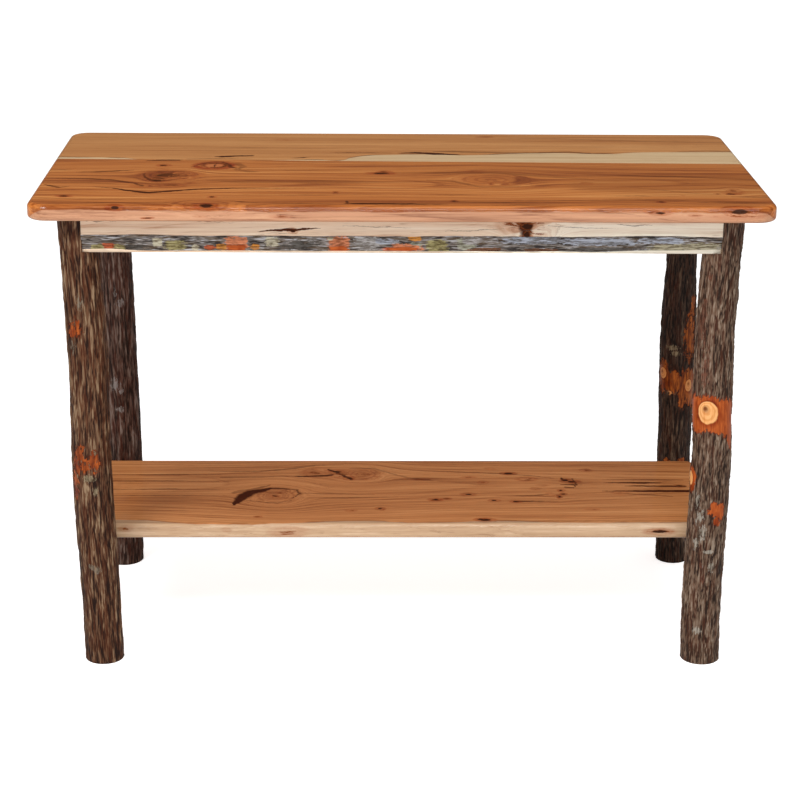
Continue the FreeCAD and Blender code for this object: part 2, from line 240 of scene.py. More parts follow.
def knot_group():
    """A knot in a board: how far it turns the grain aside, its dark heart and its halo."""
    tree, g, given, out = new_group(
        "Knot", "ShaderNodeTree",
        [("Place", "Vector", None), ("Centre", "Vector", None),
         ("Half Size", "Vector", (0.02, 0.01, 10.0)), ("Heart", "Float", 0.6),
         ("Halo", "Float", 2.0), ("Eye", "Float", 0.0)],
        [("Shift", "Float"), ("Dark", "Float"), ("Halo", "Float"), ("Eye", "Float"),
         ("Rings", "Float")],
    )
    away = given["Place"] - given["Centre"]
    across = g.vector("DOT_PRODUCT", away, (0.0, 1.0, 0.0))
    reach = g.vector("LENGTH", away / given["Half Size"])
    square = g.math("MAXIMUM", reach * reach, 1.0)
    g.feed(out["Shift"], across / square)
    heart = given["Heart"]
    dark = 1.0 - g.soft(reach, heart * 0.3, heart)
    inner = g.soft(reach, heart * 0.35, heart * 0.7)
    eye = g.between(given["Eye"], 1.0, inner)
    g.feed(out["Dark"], dark * eye)
    g.feed(out["Eye"], 1.0 - eye)
    g.feed(out["Halo"], 1.0 - g.soft(reach, heart, given["Halo"]))
    ring = g.soft(g.math("SINE", reach * 19.0), 0.2, 0.9)
    within = 1.0 - g.soft(reach, 0.95, 1.15)
    g.feed(out["Rings"], ring * within)
    return tree


def stroke_group():
    """How well a place is covered by a straight stroke: 1 in its middle, 0 at its edge."""
    tree, g, given, out = new_group(
        "Stroke", "ShaderNodeTree",
        [("Place", "Vector", None), ("From", "Vector", None), ("To", "Vector", None),
         ("From Width", "Float", 0.001), ("To Width", "Float", 0.001)],
        [("Cover", "Float")],
    )
    run = given["To"] - given["From"]
    away = given["Place"] - given["From"]
    share = g.vector("DOT_PRODUCT", away, run) / g.vector("DOT_PRODUCT", run, run)
    share = g.math("MINIMUM", g.math("MAXIMUM", share, 0.0), 1.0)
    nearest = run * share
    distance = g.vector("DISTANCE", away, nearest)
    width = g.between(share, given["From Width"], given["To Width"])
    g.feed(out["Cover"], 1.0 - distance / width)
    return tree


def figure_group():
    """Hickory's figure: bands, growth rings, dark streaks, fibre and pores along the first axis."""
    tree, g, given, out = new_group(
        "Hickory Figure", "ShaderNodeTree",
        [("Place", "Vector", None), ("Seed", "Float", 0.0), ("Light", "Color", None),
         ("Middle", "Color", None), ("Dark", "Color", None), ("Ring Width", "Float", 0.006),
         ("Pith", "Vector", (0.0, 0.05, -0.09)), ("Ring Lines", "Float", 0.35),
         ("Bands", "Float", 0.6), ("Streaks", "Float", 0.5)],
        [("Color", "Color"), ("Gloss", "Float")],
    )
    seed = g.combine(given["Seed"] * 1.7, given["Seed"], given["Seed"] * 3.1)
    place = given["Place"]

    def grain(scales, detail, roughness=0.5):
        scaled = place * scales + seed
        return g.noise(scaled, detail, roughness)

    along, across, depth = g.split(place)
    bend = g.around_zero(grain((1.1, 3.0, 3.0), 1.0), 0.024)
    wobble = g.around_zero(grain((6.0, 22.0, 22.0), 1.0), 0.004)
    across = across + (bend + wobble)
    place = g.combine(along, across, depth)
    broad = grain((0.7, 13.0, 13.0), 2.0)
    medium = grain((1.3, 70.0, 70.0), 3.0, 0.65)
    fine = grain((4.0, 230.0, 230.0), 3.0, 0.7)
    pith = g.split(given["Pith"])
    radius = g.vector("LENGTH", g.combine(0.0, across - pith[1], depth - pith[2]))
    lean = (along - pith[0]) * 0.045
    swell = g.around_zero(grain((1.6, 9.0, 9.0), 2.0), 0.020)
    phase = (radius + (lean + swell)) / given["Ring Width"]
    number = g.add("ShaderNodeTexWhiteNoise", {"W": g.math("FLOOR", phase)},
                   noise_dimensions="1D")["Value"]
    step = g.math("FRACT", phase)
    early = 1.0 - g.soft(step, 0.0, 0.5)
    late = g.soft(step, 0.88, 1.0)
    line = g.math("MAXIMUM", early * 0.8, late) * (0.2 + number)
    tone = 0.5 + g.around_zero(broad, 2.4) * given["Bands"]
    tone = tone + g.around_zero(medium, 3.0) * given["Bands"]
    tone = tone + g.around_zero(fine, 1.7)
    tone = tone - line * given["Ring Lines"]
    colour = g.mix(g.soft(tone, -0.1, 0.5), given["Dark"], given["Middle"])
    colour = g.mix(g.soft(tone, 0.45, 1.05), colour, given["Light"])
    streak = g.soft(grain((1.5, 64.0, 64.0), 3.0, 0.72), 0.54, 0.66)
    streak = streak * given["Streaks"]
    colour = g.multiply(streak, colour, (0.56, 0.40, 0.28, 1))
    pore = g.soft(grain((42.0, 1500.0, 1500.0), 1.0), 0.60, 0.70)
    pore = pore * (0.15 + line * 0.7)
    colour = g.multiply(pore, colour, (0.40, 0.28, 0.20, 1))
    g.feed(out["Color"], colour)
    g.feed(out["Gloss"], fine)
    return tree


def bark_group():
    """Bark's colour from its relief: dark cracks deepened with painted shade, brown ridges, and
    pale weather-worn tops brightened with a painted highlight.
    """
    tree, g, given, out = new_group(
        "Bark", "ShaderNodeTree",
        [("Place", "Vector", None), ("Relief", "Float", 0.5), ("Crack", "Color", None),
         ("Ridge", "Color", None), ("Weathered", "Color", None), ("Warm", "Color", None),
         ("Warmth", "Float", 0.4), ("Stretch", "Float", 5.0), ("Weathering", "Float", 0.6)],
        [("Color", "Color"), ("Height", "Float")],
    )
    squeeze = g.combine(1.0, 1.0, 1.0 / given["Stretch"])
    place = given["Place"] * squeeze

    def grain(scale, detail, roughness=0.6):
        return g.noise(place * scale, detail, roughness)

    fibre = grain(700.0, 2.0)
    flake = grain(340.0, 3.0)
    patch = grain(60.0, 2.0)
    level = given["Relief"] + g.around_zero(flake, 1.3)
    level = level + g.around_zero(fibre, 1.0)
    # Dark cracks and brown ridges: the bark's own colours, with the cracks deepened as painted
    # shade
    colour = g.mix(g.soft(level, 0.26, 0.60), given["Crack"], given["Ridge"])
    # Pale ridge tops: weather-worn bark, brightened as a painted highlight
    pale = g.soft(level, 0.62, 0.92) * g.soft(patch, 0.15, 0.55)
    colour = g.mix(pale * given["Weathering"], colour, given["Weathered"])
    warm = g.soft(grain(200.0, 2.0), 0.44, 0.64) * given["Warmth"]
    warm = warm * g.math("SUBTRACT", 1.2, level, clamp=True)
    colour = g.mix(warm, colour, given["Warm"])
    g.feed(out["Color"], colour)
    g.feed(out["Height"], fibre * 0.5 + flake)
    return tree


def bare_wood_group():
    """Inner wood laid bare: orange with torn fibres, and pale sawn knots with a dark pith."""
    tree, g, given, out = new_group(
        "Bare Wood", "ShaderNodeTree",
        [("Place", "Vector", None), ("Under Bark", "Color", None), ("Torn", "Color", None),
         ("Sawn Knot", "Color", None), ("Pith", "Color", None), ("Knot", "Float", 9.0),
         ("Share", "Float", 1.0)],
        [("Color", "Color")],
    )

    def grain(scales, detail, roughness=0.6):
        return g.noise(given["Place"] * scales, detail, roughness)

    fibre = grain((330.0, 330.0, 40.0), 3.0)
    cloud = grain((60.0, 60.0, 40.0), 2.0)
    colour = g.mix(g.soft(fibre, 0.35, 0.7), given["Under Bark"], given["Torn"])
    colour = g.multiply(g.soft(cloud, 0.48, 0.72), colour, (0.60, 0.42, 0.30, 1))
    edge = 1.0 - g.soft(given["Share"], 0.55, 1.0)
    colour = g.multiply(edge, colour, (0.45, 0.30, 0.22, 1))
    rough = g.around_zero(grain((90.0, 90.0, 90.0), 2.0), 0.22)
    knot = given["Knot"] + rough
    ring = g.math("SINE", knot * 21.0)
    face = g.mix(g.soft(ring, -0.6, 1.0), given["Sawn Knot"],
                 g.multiply(1.0, given["Sawn Knot"], (0.86, 0.74, 0.60, 1)))
    face = g.multiply(g.soft(fibre, 0.45, 0.75), face, (0.86, 0.72, 0.56, 1))
    face = g.mix(1.0 - g.soft(knot, 0.05, 0.42), face, given["Pith"])
    rim = 1.0 - g.soft(knot, 0.98, 1.30)
    colour = g.multiply(rim, colour, (0.66, 0.48, 0.36, 1))
    colour = g.mix(1.0 - g.soft(knot, 0.88, 0.98), colour, face)
    g.feed(out["Color"], colour)
    return tree


GROUPS = {}


def shared(name):
    """A node group, built the first time it is asked for."""
    makers = {"knot": knot_group, "stroke": stroke_group, "figure": figure_group,
              "bark": bark_group, "bare": bare_wood_group, "relief": relief_tree}
    if name not in GROUPS:
        GROUPS[name] = makers[name]()
    return GROUPS[name]


def new_material(name):
    """An empty material's graph, its Principled shader and its output."""
    material = bpy.data.materials.new(name)
    material.use_nodes = True
    tree = material.node_tree
    tree.nodes.clear()
    graph = Graph(tree)
    shader = graph.node("ShaderNodeBsdfPrincipled")
    output = graph.node("ShaderNodeOutputMaterial")
    tree.links.new(shader.outputs[0], output.inputs[0])
    return material, graph, shader


def bump(g, shader, height, distance, strength=1.0):
    """Tilt a shader's surface by a height."""
    inputs = {"Height": height, "Strength": strength, "Distance": distance}
    g.feed(shader.inputs["Normal"], g.add("ShaderNodeBump", inputs)[0])


def shade_with(obj, material):
    obj.data.materials.clear()
    obj.data.materials.append(material)


# Boards

# Half a height so large that a knot on a board's face runs all the way through it
FAR_DEPTH = 99000

SEAM_BROWN = srgb(92, 48, 24)
HALO_BROWN = srgb(206, 146, 102)
EYE_ORANGE = srgb(222, 134, 74)
RING_BROWN = srgb(176, 120, 84)
CRACK_BROWN = srgb(70, 29, 10)
KNOT_BROWN = srgb(122, 62, 26)
KNOT_BLACK = srgb(56, 26, 10)
# Darkens the heartwood along the top's front arris: partly browner wood, partly painted shade that
# keeps the lamp-lit roundover as dark as the top
ARRIS_BROWN_AND_PAINTED_SHADE = (0.80, 0.82, 0.95)


class Board:
    """What a board's hickory looks like and what grew in it. Places are in millimetres.

    A knot is its place along and across, half its length and width, and a look: heart,
    halo, eye, strength and rings. An edge knot has its depth and half its height too. A stroke is
    its strength and points with half a width each.
    """

    def __init__(self, name, colours, seed, pith, ring=6.0, lines=0.35, bands=0.6, streaks=0.4,
                 axes="XYZ", knots=(), edge_knots=(), strokes=(), sap=None, roughness=0.42,
                 coat=0.7):
        self.name = name
        self.colours = colours
        self.seed = seed
        self.pith = pith
        self.ring = ring
        self.lines = lines
        self.bands = bands
        self.streaks = streaks
        self.axes = axes
        self.knots = [(x, y, 0, length, width, FAR_DEPTH, look)
                      for x, y, length, width, look in knots] + list(edge_knots)
        self.strokes = strokes
        self.sap = sap
        self.roughness = roughness
        self.coat = coat


# Half the length that a sapwood's line is drawn over
HALF_LINE = 0.56


def sap_share(g, place, sap):
    """1 where the board is pale sapwood: on one side of a given line across it.

    With a level to go down from, the line runs on down the board's edge. A rim is where, across the
    board, the heartwood left on that edge begins and ends to be darkened: browner wood, partly
    painted shade on the roundover.
    """
    low, high = -HALF_LINE, HALF_LINE
    along, across, depth = g.split(place)
    if "down_from" in sap:
        across = across + (depth - sap["down_from"])
    at = (along - low) / (high - low)
    levels = [across_mm for _along, across_mm in sap["line"]]
    base, top = min(levels) - 1.0, max(levels) + 1.0
    curve = g.node("ShaderNodeFloatCurve", {"Factor": 1.0, "Value": at})
    points = curve.mapping.curves[0].points
    for number, (along_mm, across_mm) in enumerate(sap["line"]):
        spot = ((along_mm * MM - low) / (high - low), (across_mm - base) / (top - base))
        if number < 2:
            points[number].location = spot
        else:
            points.new(*spot)
    curve.mapping.update()
    level = g.math("MULTIPLY_ADD", Value(g, curve.outputs[0]), (top - base) * MM, base * MM)
    rough = g.around_zero(g.noise(place * (28.0, 60.0, 60.0), 2.0), 0.005)
    beyond = level + rough - across
    if sap["side"] > 0:
        beyond = beyond * -1.0
    return g.soft(beyond, -0.0012, 0.0012), beyond


def board_material(board):
    """Lacquered hickory with the board's own knots, strokes and sapwood."""
    material, g, shader = new_material(board.name)
    position = g.add("ShaderNodeTexCoord")["Object"]
    parts = dict(zip("XYZ", g.split(position)))
    place = g.combine(*(parts[axis] for axis in board.axes))
    along, across, depth = g.split(place)
    stir = g.noise(place * (70.0, 170.0, 170.0), 3.0, 0.6, colour=True)
    stir = (stir - (0.5, 0.5, 0.5)) * (0.012, 0.006, 0.0)
    stirred = place + stir
    flat = stirred * (1.0, 1.0, 0.0)

    shift = dark = halo = eye = rings = 0.0
    for x, y, z, half_x, half_y, half_z, (heart, reach, has_eye, strength, ringed) in board.knots:
        node = g.group(shared("knot"), {
            "Place": stirred, "Centre": (x * MM, y * MM, z * MM),
            "Half Size": (half_x * MM, half_y * MM, half_z * MM), "Heart": heart,
            "Halo": reach, "Eye": has_eye,
        })
        shift = shift + node["Shift"]
        dark = g.math("MAXIMUM", dark, node["Dark"] * strength)
        halo = g.math("MAXIMUM", halo, node["Halo"] * strength)
        if has_eye:
            eye = g.math("MAXIMUM", eye, node["Eye"])
        if ringed:
            rings = g.math("MAXIMUM", rings, node["Rings"] * ringed)
    line = 0.0
    for strength, points in board.strokes:
        for (x0, y0, w0), (x1, y1, w1) in zip(points, points[1:]):
            node = g.group(shared("stroke"), {
                "Place": flat, "From": (x0 * MM, y0 * MM, 0.0), "To": (x1 * MM, y1 * MM, 0.0),
                "From Width": w0 * MM, "To Width": w1 * MM,
            })
            cover = g.soft(node["Cover"], 0.0, 0.55) * strength
            line = g.math("MAXIMUM", line, cover)

    grain_place = g.combine(along, across - shift, depth)

    def figure(colours, seed, lines, streaks):
        light, middle, deep = (rgba(colour) for colour in colours)
        return g.group(shared("figure"), {
            "Place": grain_place, "Seed": seed, "Light": light, "Middle": middle, "Dark": deep,
            "Ring Width": board.ring * MM, "Pith": [part * MM for part in board.pith],
            "Ring Lines": lines, "Bands": board.bands, "Streaks": streaks,
        })

    heartwood = figure(board.colours, board.seed, board.lines, board.streaks)
    colour = heartwood["Color"]
    if board.sap:
        share, beyond = sap_share(g, place, board.sap)
        sapwood = figure(board.sap["colours"], board.seed + 4.0, board.lines * 0.6,
                         board.streaks * board.sap.get("streaks", 0.4))
        colour = g.mix(share, colour, sapwood["Color"])
        edge = g.math("ABSOLUTE", beyond + 0.0015)
        edge = 1.0 - g.soft(edge, 0.0006, 0.0034)
        broken = g.soft(g.noise(place * (22.0, 60.0, 60.0), 2.0), 0.35, 0.6)
        edge = edge * (broken * board.sap["edge"])
        colour = g.mix(edge, colour, rgba(SEAM_BROWN))
        # Painted shade, partly browner heartwood: the rim along the top's front arris is darkened
        # so the lamp-lit roundover stays as dark as the top
        if "rim" in board.sap:
            rim = 1.0 - g.soft(across, *board.sap["rim"])
            rim = rim * (1.0 - share)
            colour = g.multiply(rim, colour, rgba(ARRIS_BROWN_AND_PAINTED_SHADE))
    streaky = g.noise(grain_place * (14.0, 240.0, 240.0), 3.0, 0.65)
    halo = g.math("MULTIPLY", halo, g.around_zero(streaky, 2.4) + 0.6, clamp=True)
    colour = g.multiply(halo, colour, rgba(HALO_BROWN))
    if eye:
        colour = g.mix(eye * 0.7, colour, rgba(EYE_ORANGE))
    if rings:
        colour = g.multiply(rings, colour, rgba(RING_BROWN))
    line = g.math("MULTIPLY", line, 0.6 + streaky, clamp=True)
    colour = g.mix(line, colour, rgba(CRACK_BROWN))
    deep = g.soft(dark + g.around_zero(streaky, 2.6), 0.35, 0.75)
    deep = deep * g.soft(dark, 0.0, 0.2)
    heart_colour = g.mix(g.soft(dark, 0.55, 0.9), rgba(KNOT_BROWN), rgba(KNOT_BLACK))
    colour = g.mix(deep, colour, heart_colour)
    g.feed(shader.inputs["Base Color"], colour)
    rough = g.around_zero(heartwood["Gloss"], 0.16)
    rough = rough + g.math("MULTIPLY_ADD", deep, 0.12, board.roughness)
    g.feed(shader.inputs["Roughness"], rough)
    shader.inputs["Specular IOR Level"].default_value = 0.06
    if board.coat:
        dull = g.math("MAXIMUM", deep, line) if board.strokes else deep
        g.feed(shader.inputs["Coat Weight"],
               g.math("MULTIPLY_ADD", dull, -0.85 * board.coat, board.coat))
    shader.inputs["Coat Roughness"].default_value = 0.05
    fibre = g.noise(place * (9.0, 620.0, 620.0), 3.0, 0.7)
    bump(g, shader, fibre, 0.00022, 0.4)
    return material


# A knot's look: how far its heart and its halo reach, its eye, its strength and its rings
DARK_KNOT = (1.0, 1.6, 0.0, 1.0, 0.0)
BROAD_KNOT = (1.1, 1.7, 0.0, 0.72, 0.4)
FAINT_KNOT = (1.0, 1.8, 0.0, 0.45, 0.0)
EYE_KNOT = (1.2, 1.7, 1.0, 1.4, 0.0)
SPOT = (1.1, 1.7, 0.0, 0.9, 0.0)
DIM_SPOT = (1.1, 1.8, 0.0, 0.55, 0.0)
SWIRL = (0.3, 1.6, 0.0, 0.2, 0.35)

TOP_FRONT_KNOTS = (
    (-297, 5, 24, 22, EYE_KNOT), (-364, -70, 38, 27, BROAD_KNOT), (-378, -94, 18, 20, BROAD_KNOT),
    (-343, -74, 17, 23, DIM_SPOT), (-378, -68, 9, 6, SPOT), (-379, -88, 13, 7, DIM_SPOT),
    (-379, -109, 17, 6, SPOT), (-378, 5, 9, 8, SPOT), (-377, -26, 8, 7, DIM_SPOT),
    (-398, -147, 13, 10, DIM_SPOT), (-356, -143, 18, 12, DIM_SPOT), (-326, -126, 6, 4, DIM_SPOT),
    (-508, -219, 9, 6, SPOT), (-287, -222, 6, 5, SPOT), (-101, -188, 4, 6, FAINT_KNOT),
    (76, -244, 5, 5, SPOT), (386, -246, 5, 5, SPOT), (423, -203, 4, 4, DIM_SPOT),
    (-31, -50, 19, 8, DARK_KNOT), (-26, -40, 10, 9, DIM_SPOT), (500, -190, 13, 5, DARK_KNOT),
    (480, -190, 5, 4, SPOT), (508, -168, 11, 16, FAINT_KNOT), (140, -94, 58, 40, SWIRL),
    (138, -120, 4, 9, DIM_SPOT), (160, -117, 6, 11, FAINT_KNOT), (286, -120, 8, 8, FAINT_KNOT),
    (118, -36, 12, 8, FAINT_KNOT),
)
TOP_FRONT_EDGE_KNOTS = (
    (-426, -277, 758, 12, 8, 4, DARK_KNOT), (-292, -275, 761, 17, 10, 5, DARK_KNOT),
    (-316, -272, 761, 12, 8, 4, DIM_SPOT), (-292, -270, 761, 44, 26, 10, SWIRL),
    (381, -279, 753, 14, 5, 3, SPOT), (368, -279, 754, 8, 5, 2, DIM_SPOT),
    (499, -278, 755, 22, 8, 7, DARK_KNOT), (499, -279, 752, 34, 9, 9, FAINT_KNOT),
    (432, -280, 750, 8, 4, 2, DIM_SPOT), (-377, -280, 743, 8, 4, 1.5, SPOT),
    (-300, -280, 746, 8, 4, 1.5, DIM_SPOT), (-180, -280, 746, 14, 4, 2, FAINT_KNOT),
)
TOP_FRONT_STROKES = (
    (0.7, ((-332, -8, 1), (-322, 12, 2.4), (-304, 31, 3), (-286, 32, 3.4),
           (-276, 16, 4), (-270, -8, 5), (-254, -22, 1))),
    (0.85, ((-296, -16, 0.6), (-296, 8, 2), (-295, 24, 1.2))),
    (0.4, ((-262, -26, 6), (-240, -40, 9), (-224, -42, 2))),
    (0.4, ((-262, 20, 8), (-250, -4, 8), (-256, -20, 3))),
    (0.75, ((-400, -44, 0.8), (-378, -44, 3.4), (-342, -42, 1))),
    (0.7, ((-403, -52, 1), (-401, -82, 3), (-390, -104, 4.5), (-378, -114, 5),
           (-358, -104, 3), (-338, -92, 1))),
    (1, ((-470, -155, 0.5), (-440, -163, 2.6), (-419, -178, 5), (-386, -194, 7),
         (-350, -182, 6), (-312, -169, 5), (-262, -162, 2.6), (-150, -158, 1))),
    (0.65, ((-560, -33, 3), (-530, -33, 3), (-516, -32, 0.5))),
    (0.8, ((-512, -48, 0.6), (-482, -47, 4.5), (-448, -40, 4), (-424, -32, 1))),
    (0.7, ((-550, -92, 0.8), (-490, -97, 4.4), (-446, -106, 5), (-412, -128, 3.4),
           (-398, -146, 5))),
    (0.7, ((-548, -140, 1), (-540, -146, 5.5), (-524, -160, 5), (-510, -152, 1))),
    (0.35, ((-560, -120, 4), (-480, -126, 6), (-425, -136, 1))),
    (0.3, ((-300, -106, 2), (-250, -116, 12), (-120, -118, 11), (40, -112, 3))),
    (0.45, ((-160, -104, 0.6), (-120, -106, 3.4), (-60, -108, 1))),
    (0.4, ((-230, -28, 0.6), (-160, -28, 4), (-60, -26, 1))),
    (1, ((-88, -262, 1), (-62, -263, 6.5), (10, -264, 6), (66, -265, 1))),
    (0.8, ((-84, -246, 3), (-82, -262, 3))),
    (0.7, ((-258, -250, 0.4), (-240, -254, 3.4), (-214, -260, 0.6))),
    (0.6, ((-206, -261, 0.5), (-150, -262, 3), (-100, -262, 0.6))),
    (0.85, ((-412, 38, 0.8), (-392, 44, 5), (-356, 46, 5), (-350, 47, 1))),
    (0.7, ((-346, 46, 1), (-334, 49, 3.8), (-322, 48, 0.8))),
    (0.5, ((-554, -233, 1), (-460, -240, 3), (-330, -238, 0.4))),
    (0.5, ((-545, -258, 1), (-440, -260, 3.4), (-340, -258, 0.6))),
    (0.4, ((-260, -205, 0.4), (-140, -204, 3), (40, -202, 0.4))),
    (0.6, ((20, -203, 0.6), (80, -202, 3), (134, -202, 0.6))),
    (0.7, ((62, -249, 0.6), (90, -250, 3.4), (160, -252, 2.6), (244, -254, 0.6))),
    (0.45, ((60, -236, 0.6), (200, -238, 3), (420, -236, 3), (555, -250, 1.5))),
    (0.6, ((300, -227, 0.6), (340, -226, 3), (430, -228, 0.6))),
    (0.6, ((306, -206, 0.6), (360, -205, 2.6), (420, -205, 0.6))),
    (0.7, ((440, -248, 0.6), (500, -250, 3.4), (555, -250, 2))),
    (0.75, ((496, -210, 0.6), (530, -210, 3), (558, -210, 3))),
    (0.7, ((130, -268, 0.6), (176, -268, 3.4), (215, -267, 0.6))),
    (0.45, ((340, -140, 0.6), (400, -166, 4), (450, -188, 4), (484, -191, 2))),
    (0.4, ((270, -66, 1), (360, -62, 6), (440, -66, 8), (548, -90, 7))),
    (0.35, ((-20, -46, 1), (60, -44, 10), (150, -42, 8), (220, -66, 9),
            (300, -90, 3))),
    (0.35, ((40, -98, 3), (80, -106, 8), (120, -146, 6), (180, -142, 3))),
    (0.2, ((300, -130, 60), (420, -130, 110), (560, -130, 120))),
)


def top_front_board(wood):
    return Board(
        "Hickory Top Front", wood.tones("front"), seed=2.0, pith=(150, -122, 690), ring=9.5,
        lines=0.36, bands=0.5, streaks=0.5,
        knots=TOP_FRONT_KNOTS, edge_knots=TOP_FRONT_EDGE_KNOTS, strokes=TOP_FRONT_STROKES,
        # The rim darkens the heartwood along the arris: browner wood and painted shade on the
        # roundover
        sap={"side": -1, "down_from": TABLE_HEIGHT, "rim": (TOP_EDGE + 0.0045, TOP_EDGE + 0.0095),
             "line": ((-560, -286), (-420, -287), (-330, -288), (-200, -288),
                      (0, -288), (250, -287.5), (560, -287.5)),
             "colours": (srgb(213, 163, 126), srgb(190, 137, 103), srgb(142, 93, 66)),
             "edge": 0.3, "streaks": 1.4},
    )


TOP_BACK_STROKES = (
    (1, ((-300, 74, 2), (-288, 74, 7), (-262, 81, 6), (-240, 82, 4.4))),
    (0.8, ((-178, 65, 0.6), (-158, 68, 4.6), (-144, 74, 0.6))),
    (0.75, ((-112, 109, 0.6), (-66, 109, 3.2), (-12, 109, 1))),
    (1, ((2, 108, 2), (26, 112, 7.5), (58, 104, 11), (98, 96, 3))),
    (0.5, ((58, 122, 3), (90, 122, 8), (116, 118, 7), (190, 114, 6),
           (240, 114, 4))),
    (0.6, ((232, 116, 4), (282, 121, 8), (316, 112, 3))),
    (0.7, ((312, 108, 0.8), (338, 109, 3.6), (366, 108, 0.8))),
    (0.35, ((470, 136, 0.8), (520, 138, 4), (560, 136, 3))),
    (0.3, ((-384, 144, 0.6), (-252, 148, 4), (-60, 141, 0.6))),
    (0.3, ((130, 240, 0.6), (255, 236, 5), (430, 214, 5), (560, 204, 4))),
    (0.25, ((180, 166, 0.6), (330, 164, 4), (520, 168, 0.6))),
    (0.6, ((-346, 57, 0.6), (-300, 58, 3), (-240, 57, 0.6))),
)


def top_back_board(wood):
    return Board(
        "Hickory Top Back", wood.tones("back"), seed=7.0, pith=(-900, 360, 640), ring=9.0,
        lines=0.18, bands=0.4, streaks=0.2,
        knots=((-190, 216, 14, 6, FAINT_KNOT), (150, 248, 12, 6, DIM_SPOT)),
        strokes=TOP_BACK_STROKES,
        sap={"side": -1, "line": ((-565, 66), (-456, 61), (-403, 46), (-241, 42), (-206, 46),
                                  (-135, 52), (-105, 46), (-80, 70), (1, 97), (59, 100), (107, 93),
                                  (167, 103), (267, 113), (333, 108), (401, 121), (485, 126),
                                  (568, 128)),
             "colours": (srgb(244, 212, 166), srgb(230, 195, 150), srgb(202, 158, 112)),
             "edge": 0.8, "streaks": 0.5},
    )


SHELF_KNOTS = (
    (-204, -24, 40, 36, SWIRL), (-204, -24, 30, 26, SWIRL), (-205, -25, 7, 5, SPOT),
    (-199, -12, 4, 3, DIM_SPOT), (-97, 80, 22, 18, DIM_SPOT), (-104, 92, 12, 9, SPOT),
    (-82, 60, 9, 8, SPOT), (-58, 78, 28, 24, SWIRL), (-60, 78, 24, 20, FAINT_KNOT),
    (-138, 88, 20, 20, FAINT_KNOT), (-30, -83, 7, 6, SPOT), (-78, -92, 8, 5, DIM_SPOT),
    (-228, -120, 6, 4, DIM_SPOT), (162, 108, 7, 5, DIM_SPOT), (192, 84, 12, 6, SPOT),
    (122, 65, 10, 5, DIM_SPOT), (40, 55, 12, 4, DIM_SPOT), (222, 54, 14, 8, DIM_SPOT),
    (146, 41, 7, 5, DIM_SPOT), (328, 101, 8, 6, DIM_SPOT), (118, -17, 10, 6, SPOT),
    (62, -42, 10, 6, SPOT), (80, -38, 7, 4, DIM_SPOT), (160, -45, 8, 5, SPOT),
    (196, -51, 8, 5, SPOT), (234, 10, 7, 5, DIM_SPOT), (255, -15, 6, 6, DIM_SPOT),
    (276, 2, 6, 5, SPOT), (277, -15, 5, 5, SPOT), (270, -28, 4, 7, SPOT), (288, 50, 8, 8, SPOT),
    (298, 44, 12, 6, SPOT), (246, 26, 8, 5, FAINT_KNOT), (320, -86, 10, 4, FAINT_KNOT),
    (141, -134, 14, 8, DARK_KNOT), (132, -131, 8, 5, SPOT), (480, 24, 7, 6, SPOT),
    (376, -10, 12, 8, FAINT_KNOT),
)
SHELF_EDGE_KNOTS = (
    (422, -153, 195, 21, 8, 5, DARK_KNOT), (-441, -153, 200, 9, 5, 4, FAINT_KNOT),
    (-279, -153, 198, 6, 5, 3, FAINT_KNOT), (-178, -153, 194, 24, 5, 7, FAINT_KNOT),
)
SHELF_STROKES = (
    (1, ((-271, -66, 4), (-265, -46, 11), (-257, -26, 15), (-246, -8, 14),
         (-226, 2, 10), (-212, 12, 4))),
    (0.7, ((-214, 10, 6), (-196, 10, 4), (-170, 4, 3), (-164, -14, 3),
           (-176, -36, 1))),
    (0.45, ((-274, -10, 5), (-262, -2, 9), (-240, 8, 6), (-214, 28, 2))),
    (0.5, ((-252, -46, 1.4), (-230, -52, 2.4), (-200, -58, 3.4), (-178, -46, 2))),
    (0.35, ((-160, -12, 2), (-110, -14, 5), (-40, -18, 1))),
    (0.4, ((-160, -34, 1), (-80, -34, 4), (0, -30, 1))),
    (0.85, ((-190, 70, 0.8), (-158, 69, 4), (-122, 72, 6), (-110, 78, 4))),
    (0.45, ((-300, 64, 3), (-240, 66, 4.5), (-190, 70, 2))),
    (0.85, ((-118, 104, 3), (-106, 92, 6), (-90, 72, 5), (-77, 54, 3))),
    (0.5, ((-320, 94, 1), (-240, 92, 3.4), (-180, 108, 4), (-140, 124, 3),
           (-90, 128, 1))),
    (0.35, ((-80, 108, 2), (-40, 110, 4), (-10, 84, 4), (20, 62, 4),
            (60, 48, 3))),
    (0.6, ((-500, 76, 1.6), (-382, 78, 3.2), (-285, 76, 0.4))),
    (0.6, ((-500, 46, 3), (-382, 46, 2.8), (-283, 43, 0.4))),
    (0.55, ((-500, 6, 2.4), (-381, 7, 3), (-281, 5, 0.4))),
    (0.5, ((-500, -24, 2.6), (-381, -23, 2.2), (-280, -22, 0.4))),
    (0.45, ((20, 100, 0.8), (100, 92, 3.4), (176, 84, 3.4), (228, 74, 3),
            (270, 60, 1))),
    (0.45, ((166, -24, 0.8), (220, -24, 3.4), (252, -16, 3))),
    (0.7, ((196, -50, 4), (222, -49, 3.6), (266, -48, 0.6))),
    (0.95, ((281, 62, 3), (285, 48, 4))),
    (0.9, ((278, 30, 2), (304, 28, 3.4))),
    (0.8, ((284, 18, 2.6), (298, 15, 2.6))),
    (0.7, ((300, 60, 2), (304, 36, 2.6), (298, 12, 1))),
    (0.95, ((352, 39, 0.8), (384, 39, 4), (420, 39, 6), (450, 38, 1.4))),
    (0.8, ((386, 23, 1), (410, 24, 4.6), (444, 22, 4.6), (486, 22, 5))),
    (0.5, ((350, 56, 0.6), (400, 54, 3), (490, 53, 2.4))),
    (1, ((346, -1, 0.8), (396, -1, 4), (432, -1, 6.5), (516, -1, 7.5))),
    (0.4, ((380, -12, 1), (420, -18, 5), (460, -26, 2))),
    (0.45, ((160, -137, 1), (260, -139, 2.4), (470, -138, 1))),
)


